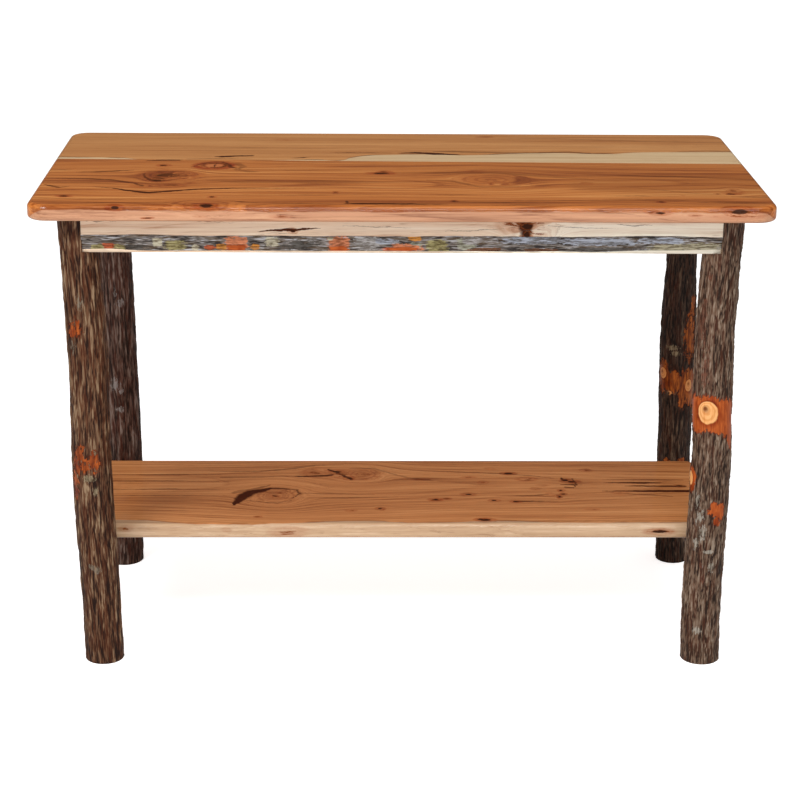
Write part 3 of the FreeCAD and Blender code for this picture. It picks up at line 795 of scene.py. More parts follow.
def shelf_board(wood):
    return Board(
        "Hickory Shelf", wood.tones("shelf"), seed=12.0, pith=(-260, 30, 120), ring=8.0,
        lines=0.28, bands=0.36, streaks=0.25,
        knots=SHELF_KNOTS, edge_knots=SHELF_EDGE_KNOTS, strokes=SHELF_STROKES,
        sap={"side": -1, "line": ((-560, -130), (-420, -136), (-300, -150), (-200, -149),
                                  (-60, -140), (40, -146), (150, -139), (330, -146), (560, -126)),
             "colours": (srgb(214, 183, 151), srgb(193, 158, 124), srgb(164, 125, 90)),
             "edge": 0.5, "streaks": 0.5},
    )


# Bark

def relief_tree():
    """Raises bark's ridges off a smooth skin, strips it where it is bare, and gives it its finish.

    The skin carries bark_place, a place with its third part along the grain, bare, above
    nothing where the bark is off, and sawn, 1 where a saw or plane has been.
    """
    tree, g, given, out = new_group(
        "Bark Relief", "GeometryNodeTree",
        [("Geometry", "Geometry", None), ("Crack Spacing", "Float", 0.010),
         ("Stretch", "Float", 7.0), ("Depth", "Float", 0.0030), ("Bark Thickness", "Float", 0.0018),
         ("Seed", "Float", 0.0), ("Tearing", "Float", 1.1), ("Bark", "Material", None),
         ("Sawn Wood", "Material", None)],
        [("Geometry", "Geometry")],
    )

    def attribute(name, kind):
        return g.add("GeometryNodeInputNamedAttribute", {"Name": name}, data_type=kind).in_use()

    raw = attribute("bark_place", "FLOAT_VECTOR")
    seed = g.combine(given["Seed"], given["Seed"], given["Seed"])
    squeeze = g.combine(1.0, 1.0, 1.0 / given["Stretch"])
    place = raw * squeeze + seed
    crack = 1.0 / given["Crack Spacing"]
    stir = g.noise(place * (crack * 0.4), 2.0, 0.5, colour=True)
    stir = (stir - (0.5, 0.5, 0.5)) * (given["Crack Spacing"] * 1.6)
    place = place + stir

    def cracks(times, width):
        """1 on the ridges and 0 in the cracks of one net of cracks."""
        scaled = place * (crack * times)
        off = g.math("ABSOLUTE", g.around_zero(g.noise(scaled, 1.0), 2.0))
        return g.soft(off, 0.0, width)

    coarse = cracks(0.42, 0.22)
    middle = cracks(0.85, 0.32)
    fine = cracks(1.9, 0.38)
    lump = g.noise(place * 40.0, 1.0)
    ridges = g.math("MULTIPLY_ADD", fine, 0.3, g.math("MULTIPLY_ADD", middle, 0.45, 0.25))
    relief = g.math("MULTIPLY_ADD", coarse, 0.45, 0.55) * ridges
    bare = attribute("bare", "FLOAT")
    short = raw * (1.0, 1.0, 0.45) + seed
    ragged = g.noise(short * 260.0, 3.0, 0.65)
    ragged = g.around_zero(ragged, given["Tearing"])
    bare = g.soft(bare + ragged, -0.03, 0.10)
    height = (relief - 0.34) * given["Depth"]
    height = height + g.around_zero(lump, 0.0016)
    stripped = g.around_zero(lump, 0.0010) - given["Bark Thickness"]
    height = g.between(bare, height, stripped)
    whole = g.math("SUBTRACT", 1.0, attribute("sawn", "FLOAT"), clamp=True)
    height = height * whole
    normal = g.add("GeometryNodeInputNormal")["Normal"]
    offset = normal * height

    def store(geometry, name, value):
        inputs = {"Geometry": geometry, "Name": name, "Value": value}
        return g.add("GeometryNodeStoreNamedAttribute", inputs, data_type="FLOAT",
                     domain="POINT")[0]

    skin = store(given["Geometry"], "relief", relief)
    skin = store(skin, "bare_share", bare)
    skin = g.add("GeometryNodeSetPosition", {"Geometry": skin, "Offset": offset})[0]
    skin = g.add("GeometryNodeRealizeInstances", {0: skin})[0]
    inputs = {"Geometry": skin, "Material": given["Bark"]}
    skin = g.add("GeometryNodeSetMaterial", inputs)[0]
    flat = g.math("GREATER_THAN", attribute("sawn", "FLOAT"), 0.5)
    inputs = {"Geometry": skin, "Selection": flat, "Material": given["Sawn Wood"]}
    skin = g.add("GeometryNodeSetMaterial", inputs)[0]
    g.feed(out["Geometry"], skin)
    return tree


def run_tree(obj, tree, settings):
    """Apply a geometry tree and leave a plain mesh."""
    modifier = obj.modifiers.new(tree.name, "NODES")
    modifier.node_group = tree
    sockets = {item.name: item.identifier for item in tree.interface.items_tree
               if item.in_out == "INPUT"}
    for label, setting in settings.items():
        modifier[sockets[label]] = setting
    graph = bpy.context.evaluated_depsgraph_get()
    mesh = bpy.data.meshes.new_from_object(
        obj.evaluated_get(graph), preserve_all_data_layers=True, depsgraph=graph)
    obj.modifiers.clear()
    obj.data = mesh


INNER_BARK = srgb(150, 66, 22)
TORN_WOOD = srgb(186, 92, 38)
KNOT_DISC = srgb(232, 172, 112)
PITH_BROWN = srgb(118, 62, 28)


def bark_material(name, look):
    """Bark with a thin lacquer, and the inner wood where it is stripped."""
    material, g, shader = new_material(name)

    def stored(name, output="Fac"):
        return g.add("ShaderNodeAttribute", attribute_name=name)[output]

    place = stored("bark_place", "Vector")
    relief, bare, knot, tinted = map(stored, ("relief", "bare_share", "knot", "tinted"))
    tint = stored("tint", "Color")
    bark = g.group(shared("bark"), {
        "Place": place, "Relief": relief, "Crack": rgba(look["crack"]),
        "Ridge": rgba(look["ridge"]), "Weathered": rgba(look["weathered"]),
        "Warm": rgba(look["warm"]), "Warmth": look["warmth"], "Stretch": look["stretch"],
        "Weathering": look["weathering"],
    })
    under = g.group(shared("bare"), {
        "Place": place, "Under Bark": rgba(look.get("under", INNER_BARK)),
        "Torn": rgba(look.get("torn", TORN_WOOD)), "Sawn Knot": rgba(look.get("disc", KNOT_DISC)),
        "Pith": rgba(PITH_BROWN), "Knot": knot, "Share": bare,
    })
    ragged = g.noise(place * (340.0, 340.0, 110.0), 4.0, 0.75)
    stain = g.soft(tinted + g.around_zero(ragged, 4.0), 0.3, 0.6)
    stain = stain * g.soft(tinted, 0.0, 0.12)
    # Tints go dark where the relief is low: the stain's own colour, partly painted shade in the
    # cracks
    level = g.soft(relief + g.around_zero(ragged, 1.6), 0.1, 0.8)
    stained = g.mix(level, g.multiply(1.0, tint, (0.30, 0.26, 0.22, 1)), tint)
    colour = g.mix(stain * 0.92, bark["Color"], stained)
    colour = g.mix(bare, colour, under["Color"])
    g.feed(shader.inputs["Base Color"], colour)
    g.feed(shader.inputs["Roughness"], g.between(bare, 0.58, 0.42))
    shader.inputs["Specular IOR Level"].default_value = 0.12
    shader.inputs["Coat Weight"].default_value = 0.04
    shader.inputs["Coat Roughness"].default_value = 0.35
    height = g.between(bare, bark["Height"], 0.5)
    bump(g, shader, height, 0.0009, 0.9)
    return material


SAWN_TONES = (srgb(224, 198, 160), srgb(205, 172, 130), srgb(160, 118, 80))


def sawn_material(name, seed=21.0, axes="XYZ"):
    """Plain hickory off the saw, with no lacquer."""
    return board_material(Board(
        name, SAWN_TONES, seed=seed, pith=(0.0, 40.0, 640.0), ring=5.0, lines=0.3, streaks=0.3,
        axes=axes, roughness=0.62, coat=0.0))


def mesh_object(name, vertices, faces, smooth=True):
    mesh = bpy.data.meshes.new(name)
    mesh.from_pydata([tuple(v) for v in vertices], [], faces)
    mesh.update()
    mesh.polygons.foreach_set("use_smooth", [smooth] * len(mesh.polygons))
    obj = bpy.data.objects.new(name, mesh)
    bpy.context.scene.collection.objects.link(obj)
    return obj


def face_outwards(obj):
    shape = bmesh.new()
    shape.from_mesh(obj.data)
    bmesh.ops.recalc_face_normals(shape, faces=shape.faces)
    shape.to_mesh(obj.data)
    shape.free()


def store_points(obj, name, kind, values):
    """Write a value for each vertex as a named attribute."""
    attribute = obj.data.attributes.new(name, kind, "POINT")
    key = {"FLOAT": "value", "FLOAT_VECTOR": "vector", "FLOAT_COLOR": "color"}[kind]
    attribute.data.foreach_set(key, np.asarray(values, np.float32).ravel())


def tree_of(node):
    """A search tree over a CAD node's surface."""
    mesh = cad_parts[node].data
    points = [tuple(vertex.co) for vertex in mesh.vertices]
    return BVHTree.FromPolygons(points, [tuple(face.vertices) for face in mesh.polygons])


def tube_faces(rings, around):
    """Faces of a tube of rings, closed at both ends on a middle point."""
    faces = []
    for level in range(rings - 1):
        row, above = level * around, (level + 1) * around
        for step in range(around):
            following = (step + 1) % around
            faces.append((row + step, row + following, above + following, above + step))
    first, last = rings * around, rings * around + 1
    top = (rings - 1) * around
    for step in range(around):
        following = (step + 1) % around
        faces.append((first, following, step))
        faces.append((last, top + step, top + following))
    return faces


class Pole:
    """A round pole's axis and outline, read off its CAD node by rays.

    Between the two ends of each gap, where a hole opens, the outline runs on evenly.
    """

    def __init__(self, node, along, guess, first, last, gaps, stations=18):
        self.surface = tree_of(node)
        self.along = along
        self.gaps = gaps
        self.levels = np.array([level for level in np.linspace(first, last, stations)
                                if not any(low <= level <= high for low, high in gaps)])
        centre = np.array(guess, float)
        self.centres = []
        for level in self.levels:
            for _again in range(2):
                centre = self._middle(level, centre)
            self.centres.append(centre)
        self.centres = np.array(self.centres)

    def direction(self, angle):
        """Angle 0 faces the front on an upright pole and up on a lying one."""
        if self.along == "z":
            return Vector((math.sin(angle), -math.cos(angle), 0.0))
        return Vector((math.sin(angle), 0.0, math.cos(angle)))

    def at(self, level, centre):
        """The point at a level whose two parts across the pole are given."""
        if self.along == "z":
            return Vector((centre[0], centre[1], level))
        return Vector((centre[0], level, centre[1]))

    def axis(self, level):
        """The middle of the pole at a level, evenly between the levels that were read."""
        pair = [np.interp(level, self.levels, self.centres[:, part]) for part in (0, 1)]
        return self.at(level, pair)

    def _middle(self, level, centre):
        """The outline's middle at a level, from rays both ways across it."""
        pair = []
        for first, second in ((90, 270), (0, 180)):
            hits = []
            for turn in (first, second):
                ray = self.direction(math.radians(turn))
                hits.append(self.surface.ray_cast(self.at(level, centre), ray)[0])
            pair.append((hits[0] + hits[1]) / 2)
        if self.along == "z":
            return np.array((pair[0].x, pair[1].y))
        return np.array((pair[0].x, pair[1].z))

    def reach(self, level, angle):
        """Distance from the axis to the outline."""
        for low, high in self.gaps:
            if low < level < high:
                share = (level - low) / (high - low)
                return (1 - share) * self.reach(low, angle) + share * self.reach(high, angle)
        start = self.axis(level)
        return (self.surface.ray_cast(start, self.direction(angle))[0] - start).length

    def hit(self, level, angle):
        """The outline's point at a level."""
        return self.axis(level) + self.direction(angle) * self.reach(level, angle)


def patch_depth(patches, across, along, power=2.0):
    """How far inside the nearest patch each point is: 1 in its middle, 0 on its edge.

    A patch is a place across and along the grain and half its size each way, in
    millimetres, and a firmness where it is not whole. A power of 2 gives ovals and a
    higher one squarer patches.
    """
    depth = np.full(across.shape, -1.0)
    for middle_across, middle_along, half_across, half_along, *firmness in patches:
        sideways = np.abs(across - middle_across) / half_across
        lengthways = np.abs(along - middle_along) / half_along
        reach = (sideways ** power + lengthways ** power) ** (1.0 / power)
        firm = firmness[0] if firmness else 1.0
        depth = np.maximum(depth, np.where(reach < 1.0, (1.0 - reach) * firm, 1.0 - reach))
    return depth


def ring_place(knots, across, along, lean=(-0.28, 0.42)):
    """Where each point lies on the nearest sawn knot: 0 at its pith and 1 on its rim.

    The pith leans off the middle by a share of half the knot's size each way, and the
    rings are circles that grow from it to the rim.
    """
    nearest = np.full(across.shape, 9.0)
    slack = 1.0 - lean[0] ** 2 - lean[1] ** 2
    for middle_across, middle_along, half_across, half_along in knots:
        sideways = (across - middle_across) / half_across - lean[0]
        lengthways = (along - middle_along) / half_along - lean[1]
        towards = sideways * lean[0] + lengthways * lean[1]
        square = sideways ** 2 + lengthways ** 2
        nearest = np.minimum(nearest, (towards + np.sqrt(towards ** 2 + slack * square)) / slack)
    return nearest


def unrolled(patches, girth):
    """A pole's patches, given by angle in degrees, by their place on its unrolled skin.

    Each is there a turn to the left and to the right too.
    """
    placed = []
    for angle, *rest in patches:
        for turn in (-360, 0, 360):
            placed.append((math.radians(angle + turn) * girth, *rest))
    return placed


def store_skin(obj, places, across, along, sawn, bare=(), knots=(), tints=(), power=2.0):
    """Write the attributes that the bark tree and the bark's material read."""
    store_points(obj, "bark_place", "FLOAT_VECTOR", places)
    store_points(obj, "bare", "FLOAT", patch_depth(bare, across, along, power))
    store_points(obj, "knot", "FLOAT", ring_place(knots, across, along))
    tint = np.tile((0.3, 0.3, 0.3, 1.0), (len(across), 1))
    share = np.zeros(len(across))
    for colour, patches in tints:
        inside = np.clip(patch_depth(patches, across, along, power) * 2.4, 0.0, 1.0)
        tint[inside > share] = rgba(colour)
        share = np.maximum(share, inside)
    store_points(obj, "tint", "FLOAT_COLOR", tint)
    store_points(obj, "tinted", "FLOAT", share)
    store_points(obj, "sawn", "FLOAT", sawn)


def pole_object(name, pole, levels, around, sawn, bare=(), knots=(), tints=(), bulges=()):
    """A skin over a pole with the attributes that the bark tree reads."""
    turns = np.arange(around) * (2 * math.pi / around)
    points, places, radii = [], [], []
    for level in levels:
        axis = pole.axis(level)
        for turn in turns:
            spot = pole.hit(level, turn)
            out = spot - axis
            swell = 0.0
            for angle, height, breadth, length, rise in bulges:
                apart = (turn - math.radians(angle) + math.pi) % (2 * math.pi) - math.pi
                across = apart * out.length / (breadth * MM)
                along = (level - height * MM) / (length * MM)
                swell += rise * MM * math.exp(-(across ** 2 + along ** 2))
            points.append(spot + out.normalized() * swell)
            if pole.along == "z":
                places.append((out.x, out.y, level))
            else:
                places.append((out.x, out.z, level))
            radii.append(out.length)
    for level in (levels[0], levels[-1]):
        points.append(pole.axis(level))
        places.append((0.0, 0.0, level))
        radii.append(0.0)
    obj = mesh_object(name, points, tube_faces(len(levels), around))
    girth = float(np.median(radii)) / MM
    turned = np.append(np.tile(turns, len(levels)), (0.0, 0.0))
    turned = (turned + math.pi) % (2 * math.pi) - math.pi
    along = np.append(np.repeat(levels, around), (levels[0], levels[-1])) / MM
    store_skin(obj, places, turned * girth, along,
               [1.0 if sawn(point) else 0.0 for point in points],
               unrolled(bare, girth), unrolled(knots, girth),
               [(colour, unrolled(patches, girth)) for colour, patches in tints])
    return obj


def spread(first, last, spacing):
    """Levels from first to last, about spacing apart."""
    count = max(2, round((last - first) / spacing) + 1)
    return np.linspace(first, last, count)


# A leg's bark colours: the crack colour is deepened as painted shade and the pale tops are
# brightened as a painted highlight
LEG_LOOKS = {
    "front_left": {"crack": srgb(34, 15, 6), "ridge": srgb(94, 64, 44),
                   "weathered": srgb(158, 133, 104), "warm": srgb(98, 46, 18), "warmth": 0.4,
                   "stretch": 11.0, "weathering": 0.7, "spacing": 0.0044, "tearing": 2.4,
                   "under": srgb(104, 42, 12), "torn": srgb(176, 88, 34)},
    "front_right": {"crack": srgb(40, 26, 18), "ridge": srgb(104, 82, 66),
                    "weathered": srgb(160, 143, 125), "warm": srgb(106, 56, 34), "warmth": 0.3,
                    "stretch": 9.0, "weathering": 0.6, "spacing": 0.0033, "tearing": 1.1},
    "back_left": {"crack": srgb(32, 18, 12), "ridge": srgb(84, 62, 52),
                  "weathered": srgb(140, 124, 114), "warm": srgb(84, 40, 24), "warmth": 0.5,
                  "stretch": 11.0, "weathering": 0.6, "spacing": 0.0042, "tearing": 1.6},
    "back_right": {"crack": srgb(22, 13, 8), "ridge": srgb(62, 45, 35),
                   "weathered": srgb(112, 92, 72), "warm": srgb(74, 34, 13), "warmth": 0.45,
                   "stretch": 9.0, "weathering": 0.5, "spacing": 0.0040, "tearing": 1.8,
                   "under": srgb(92, 40, 12), "torn": srgb(172, 92, 32),
                   "disc": srgb(204, 140, 84)},
}

# On a leg a place is an angle from the front in degrees, positive to the right, and a height,
# then half a breadth and half a height in millimetres, and how firmly it is there.
LEG_BARE = {
    "front_left": ((-34, 556, 13, 13, 0.4), (-22, 567, 6, 11, 0.5), (-30, 353, 10, 20, 0.5),
                   (-14, 338, 9, 14, 0.4), (16, 346, 9, 18, 0.5), (-56, 308, 8, 34, 0.5),
                   (-44, 340, 8, 22, 0.5)),
    "front_right": ((-60, 421, 26, 32), (-20, 425, 30, 31), (20, 421, 26, 30), (48, 415, 22, 32),
                    (60, 386, 10, 24), (10, 266, 11, 14, 0.4), (30, 261, 9, 18, 0.5),
                    (20, 245, 7, 9, 0.4), (-76, 310, 12, 22)),
    "back_left": ((150, 260, 14, 26),),
    "back_right": ((50, 478, 8, 22, 0.5), (36, 424, 13, 46, 0.5), (-58, 352, 16, 30),
                   (-20, 343, 18, 22), (34, 339, 20, 30), (60, 318, 14, 26), (12, 317, 7, 26),
                   (20, 197, 8, 5), (-34, 196, 6, 5)),
}

# Branches sawn off a leg
LEG_KNOTS = {
    "front_left": (),
    "front_right": ((-22, 426, 17, 20), (-84, 310, 9, 13)),
    "back_left": ((150, 262, 7, 10),),
    "back_right": ((-58, 357, 8, 11), (37, 336, 8, 12), (-31, 320, 6, 7)),
}

GREY_SCAR = srgb(124, 110, 94)
LILAC_SCAR = srgb(132, 122, 118)
RUST = srgb(108, 68, 52)
PALE_LICHEN = srgb(156, 148, 136)
BEIGE = srgb(140, 124, 98)

LEG_TINTS = {
    "front_left": ((GREY_SCAR, ((-7, 601, 8, 16, 0.35), (-10, 170, 9, 6, 0.5), (2, 164, 9, 6, 0.5),
                                (-40, 528, 8, 14, 0.35))),
                   (BEIGE, ((14, 297, 6, 12, 0.35), (-6, 318, 14, 7, 0.5)))),
    "front_right": ((RUST, ((-36, 642, 5, 9, 0.5), (-10, 148, 5, 12, 0.5), (-20, 170, 4, 9, 0.5),
                            (-50, 570, 8, 50, 0.35), (-34, 500, 9, 50, 0.35))),
                    (PALE_LICHEN, ((13, 169, 7, 15, 0.4), (-46, 278, 6, 18, 0.4),
                                   (-34, 252, 9, 22, 0.4), (-22, 226, 9, 20, 0.4),
                                   (0, 194, 9, 4, 0.7), (-20, 59, 10, 8, 0.5),
                                   (-40, 205, 7, 16, 0.4)))),
    "back_left": ((LILAC_SCAR, ((21, 485, 12, 10, 0.4), (4, 500, 5, 16, 0.3),
                                (-11, 337, 12, 16, 0.4), (10, 324, 6, 8, 0.4),
                                (1, 291, 10, 7, 0.5))),),
    "back_right": ((BEIGE, ((-26, 406, 14, 6, 0.6), (-14, 396, 10, 6, 0.6), (-14, 331, 5, 12))),),
}

# Where a leg swells, or is hollow, and by how many millimetres
LEG_BULGES = {
    "front_left": ((-10, 170, 16, 22, 2.0), (-90, 558, 30, 60, 1.5)),
    "front_right": ((-20, 426, 22, 26, 1.8), (-88, 424, 24, 34, 2.0), (-84, 310, 14, 20, 3.0),
                    (88, 608, 12, 14, 2.0), (-90, 362, 30, 26, -1.0), (84, 620, 30, 90, -1.2)),
    "back_left": ((21, 485, 16, 20, 2.0), (-11, 337, 16, 20, 2.0)),
    "back_right": ((-58, 357, 12, 18, 2.2), (37, 336, 12, 18, 2.0), (88, 207, 30, 34, -1.0),
                   (88, 300, 30, 30, 1.0), (88, 510, 30, 70, -0.8)),
}


def leg_levels(spacing):
    """Levels up a leg, close together at its foot's edge and double at the notch's ledge."""
    hair = 0.00005
    levels = [0.0, 0.0006, 0.0014]
    levels += list(spread(0.0026, APRON_FOOT - hair, spacing))
    levels += list(spread(APRON_FOOT + hair, UNDERSIDE, spacing))
    return np.array(levels)


def leg_pole(corner):
    """A leg, read past the bore for its rung and the bores for its screws."""
    low, high = box_of(f"leg_{corner}")
    guess = ((low[0] + high[0]) / 2, (low[1] + high[1]) / 2)
    margin = 0.002
    rung_bore = (RUNG[0][2] + 0.005, RUNG[1][2] - 0.005)
    screw_bore = (APRON_FOOT + 0.008, APRON_FOOT + 0.019)
    return Pole(f"leg_{corner}", "z", guess, margin, APRON_FOOT - margin,
                (rung_bore, screw_bore))


# Aprons

SAWN_TALL = 0.030
WANE_DEEP = 0.007
WANE_LIP = 0.003
APRON_COLUMNS = 0.0019
WANE_CURVE = ((0.0, 0.3, 0.65, 1.0), (0.0, 0.35, 0.75, 1.0))

# The aprons' bark, with cracks deepened as painted shade and pale tops brightened as a painted
# highlight
APRON_LOOK = {"crack": srgb(46, 40, 38), "ridge": srgb(116, 108, 102),
              "weathered": srgb(190, 190, 194), "warm": srgb(106, 84, 60), "warmth": 0.45,
              "stretch": 9.0, "weathering": 0.85}
OLIVE = srgb(156, 146, 98)
ORANGE = srgb(204, 124, 84)
RED_ORANGE = srgb(178, 84, 46)
CREAM = srgb(190, 182, 158)
AMBER = srgb(196, 128, 50)
DARK_GREY = srgb(84, 80, 76)
LIGHT_GREY = srgb(162, 158, 156)
BROWN = srgb(106, 68, 44)
LILAC = srgb(160, 165, 177)
PALE_GREEN = srgb(158, 158, 140)
DRAB = srgb(160, 152, 126)

# On an apron a place is a height and a place along it, then half a size each way.
FRONT_APRON_TINTS = (
    (OLIVE, ((687, -458, 6, 12), (687, -427, 6, 12), (691, -342, 9, 20), (690, 52, 13, 20))),
    (DRAB, ((688, 400, 7, 34), (690, 448, 8, 38))),
    (RED_ORANGE, ((689, -442, 6, 12), (684, -6, 4, 30), (687, -290, 5, 10))),
    (ORANGE, ((694, -250, 14, 21), (694, -96, 15, 20), (688, 8, 7, 30))),
    (AMBER, ((688, -222, 6, 8), (703, 18, 5, 12), (688, -272, 6, 10))),
    (CREAM, ((696, -368, 9, 9), (686, -312, 6, 7), (697, -196, 9, 13), (702, -108, 4, 6))),
    (DARK_GREY, ((692, -156, 11, 36, 0.5), (688, -400, 7, 22, 0.5), (685, 300, 5, 80, 0.6))),
    (LIGHT_GREY, ((695, -54, 14, 22), (699, 100, 10, 18))),
    (BROWN, ((684, 124, 5, 34), (684, 210, 4, 30))),
    (LILAC, ((700, 200, 7, 60), (698, 300, 7, 66), (700, 390, 6, 40), (698, -30, 5, 26))),
    (PALE_GREEN, ((695, 96, 13, 17), (690, 20, 8, 12))),
)
BACK_APRON_TINTS = (
    (OLIVE, ((690, -380, 5, 16), (695, 140, 9, 24), (688, 330, 5, 20))),
    (ORANGE, ((693, -120, 10, 20), (689, 60, 6, 16), (696, 400, 9, 14))),
    (CREAM, ((698, -260, 6, 14), (693, 220, 6, 9))),
    (DARK_GREY, ((693, -20, 8, 30), (691, 280, 7, 26))),
)
END_APRON_TINTS = (
    (OLIVE, ((690, -120, 5, 14), (698, 70, 6, 16))),
    (ORANGE, ((693, 20, 9, 14),)),
    (CREAM, ((697, -60, 5, 9),)),
    (LIGHT_GREY, ((695, 130, 8, 20),)),
)
FRONT_APRON_BARE = ((686, -250, 6, 15, 0.5), (685, -96, 5, 14, 0.5), (685, 0, 3, 26, 0.6))
# How far the front lip rises at places along it
FRONT_LIP = ((-478, -440, -400, 300, 360, 478), (1.5, 2.5, 0.0, 0.0, 1.5, 4.0))


def apron_face(wood, name, seed, knots=(), strokes=(), sap=None, axes="XZY"):
    """An apron's sawn face, hardly lacquered."""
    return Board(
        name, wood.tones("apron"), seed=seed, pith=(-500.0, 900.0, 300.0), ring=6.0, lines=0.3,
        bands=0.35, streaks=0.4, axes=axes, knots=knots, strokes=strokes, sap=sap,
        roughness=0.45, coat=0.12)


FRONT_APRON_KNOTS = (
    (187, 722, 12, 9, DARK_KNOT), (187, 709, 10, 8, DARK_KNOT), (168, 728, 20, 11, DIM_SPOT),
    (192, 724, 26, 26, FAINT_KNOT), (148, 736, 16, 5, SPOT), (206, 722, 14, 24, FAINT_KNOT),
    (-165, 715, 7, 4, SPOT),
)
FRONT_APRON_STROKES = (
    (1, ((180, 740, 14), (185, 724, 13), (187, 702, 10))),
    (1, ((188, 738, 6), (189, 704, 7))),
    (1, ((-218, 713, 0.2), (-186, 716, 2.6), (-165, 716, 3.4), (-150, 717, 2.4),
         (-122, 718, 0.2))),
    (0.5, ((-473, 729, 0.5), (-453, 728, 0.9), (-430, 728, 0.2))),
    (0.5, ((-332, 730, 0.2), (-291, 728, 0.8), (-251, 726, 0.2))),
    (0.5, ((-221, 709, 0.2), (-190, 711, 0.7), (-160, 710, 0.2))),
    (0.5, ((-90, 723, 0.2), (-49, 721, 0.9), (11.5, 720, 0.2))),
    (0.5, ((218, 724, 0.3), (263, 721, 1), (324, 719, 0.2))),
    (0.5, ((322, 726, 0.3), (346, 724, 1.3), (376, 725, 0.2))),
    (0.5, ((62, 714, 0.3), (112, 716, 0.9), (152, 719, 0.3))),
)


def front_apron_face(wood):
    return apron_face(
        wood, "Hickory Apron Front", 31.0, FRONT_APRON_KNOTS, FRONT_APRON_STROKES,
        sap={"side": -1, "line": ((-560, 660), (-40, 662), (120, 700), (230, 730), (330, 790),
                                  (560, 800)),
             "colours": (srgb(248, 244, 230), srgb(240, 229, 209), srgb(206, 172, 146)),
             "edge": 0.0, "streaks": 0.8},
    )


def wane_profile():
    """An apron's section from the top of its face round to its back: inset, level, sawn.

    The wane curves in from the face below the sawn part down to a sawn lip.
    """
    foot, top, hair = APRON_FOOT, UNDERSIDE, 0.0001
    wane_top = top - SAWN_TALL
    rows = [(0.0, level, 1.0) for level in np.linspace(top, wane_top + hair, 8)]
    for down in np.linspace(0.0, 1.0, 34):
        inset = WANE_DEEP * float(np.interp(down, *WANE_CURVE))
        rows.append((inset, wane_top - down * (wane_top - foot - WANE_LIP), 0.0))
    rows += [(WANE_DEEP, foot + WANE_LIP - hair, 1.0), (WANE_DEEP, foot, 1.0)]
    thick = APRON_THICK
    rows += [(thick * 0.6, foot, 1.0), (thick, foot, 1.0), (thick, (foot + top) / 2, 1.0),
             (thick, top, 1.0), (thick / 2, top, 1.0)]
    return rows


def apron_object(name, node, along, side, tints, bare=(), lip=None, seed=0.0):
    """An apron with a wavy wane along its foot, lying along x or y and facing one side."""
    low, high = box_of(node)
    first, last = (low[0], high[0]) if along == "x" else (low[1], high[1])
    face = {("x", -1): low[1], ("x", 1): high[1], ("y", -1): low[0], ("y", 1): high[0]}
    face = face[(along, side)]
    columns = spread(first, last, APRON_COLUMNS)
    rows = wane_profile()
    wane_share = 1.0 - SAWN_TALL / (UNDERSIDE - APRON_FOOT)
    points, places, sawn = [], [], []
    for column in columns:
        gain = float(np.interp(column / MM, *lip)) * MM if lip else 0.0
        waver = noise.noise(Vector((column * 9.0, seed, 0.3))) * 0.0022
        waver += noise.noise(Vector((column * 45.0, seed, 4.3))) * 0.0007
        foot_waver = noise.noise(Vector((column * 14.0, seed, 8.3))) * 0.0011
        for inset, level, cut in rows:
            share = (level - APRON_FOOT) / (UNDERSIDE - APRON_FOOT)
            middle = max(0.0, 1.0 - abs(share - wane_share) / 0.42)
            low_share = max(0.0, 1.0 - abs(share - 0.07) / 0.4)
            if inset <= WANE_DEEP and 0.0 < share < 1.0:
                level = level + waver * middle + (foot_waver + gain) * low_share
            depth = face - side * inset
            points.append((column, depth, level) if along == "x" else (depth, column, level))
            places.append((level, inset, column))
            sawn.append(cut)
    around = len(rows)
    faces = []
    for column in range(len(columns) - 1):
        for row in range(around):
            following = (row + 1) % around
            one, two = column * around, (column + 1) * around
            faces.append((one + row, one + following, two + following, two + row))
    faces.append(tuple(range(around)))
    faces.append(tuple(range((len(columns) - 1) * around, len(columns) * around)))
    obj = mesh_object(name, points, faces)
    face_outwards(obj)
    across = np.array([place[0] for place in places]) / MM
    lengthways = np.array([place[2] for place in places]) / MM
    store_skin(obj, places, across, lengthways, sawn, bare=bare, tints=tints, power=3.0)
    return obj


# Rungs and screws

RUNG_TENON = 0.030
RUNG_SHOULDER = 0.026
# The rungs' bark, with cracks deepened as painted shade and pale tops brightened as a painted
# highlight
RUNG_LOOK = {"crack": srgb(44, 28, 20), "ridge": srgb(98, 76, 60),
             "weathered": srgb(146, 130, 112), "warm": srgb(108, 58, 32), "warmth": 0.5,
             "stretch": 5.0, "weathering": 0.7}


def screw_places(node):
    """Head centre, direction into the wood and length of each screw of a CAD node."""
    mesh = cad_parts[node].data
    shape = bmesh.new()
    shape.from_mesh(mesh)
    bmesh.ops.remove_doubles(shape, verts=shape.verts, dist=1e-6)
    left = set(shape.verts)
    places = []
    while left:
        island, waiting = [], [left.pop()]
        while waiting:
            vertex = waiting.pop()
            island.append(vertex.co.copy())
            for edge in vertex.link_edges:
                other = edge.other_vert(vertex)
                if other in left:
                    left.remove(other)
                    waiting.append(other)
        points = np.array(island)
        low, high = points.min(axis=0), points.max(axis=0)
        axis = int(np.argmax(high - low))
        middle = (low + high) / 2
        others = [part for part in range(3) if part != axis]

        def girth(level):
            near = points[np.abs(points[:, axis] - level) < 1e-4]
            return np.ptp(near[:, others], axis=0).max()

        head_low = girth(low[axis]) > girth(high[axis])
        head = middle.copy()
        head[axis] = low[axis] if head_low else high[axis]
        aim = np.zeros(3)
        aim[axis] = 1.0 if head_low else -1.0
        places.append((tuple(head), tuple(aim), float(high[axis] - low[axis])))
    shape.free()
    return sorted(places)


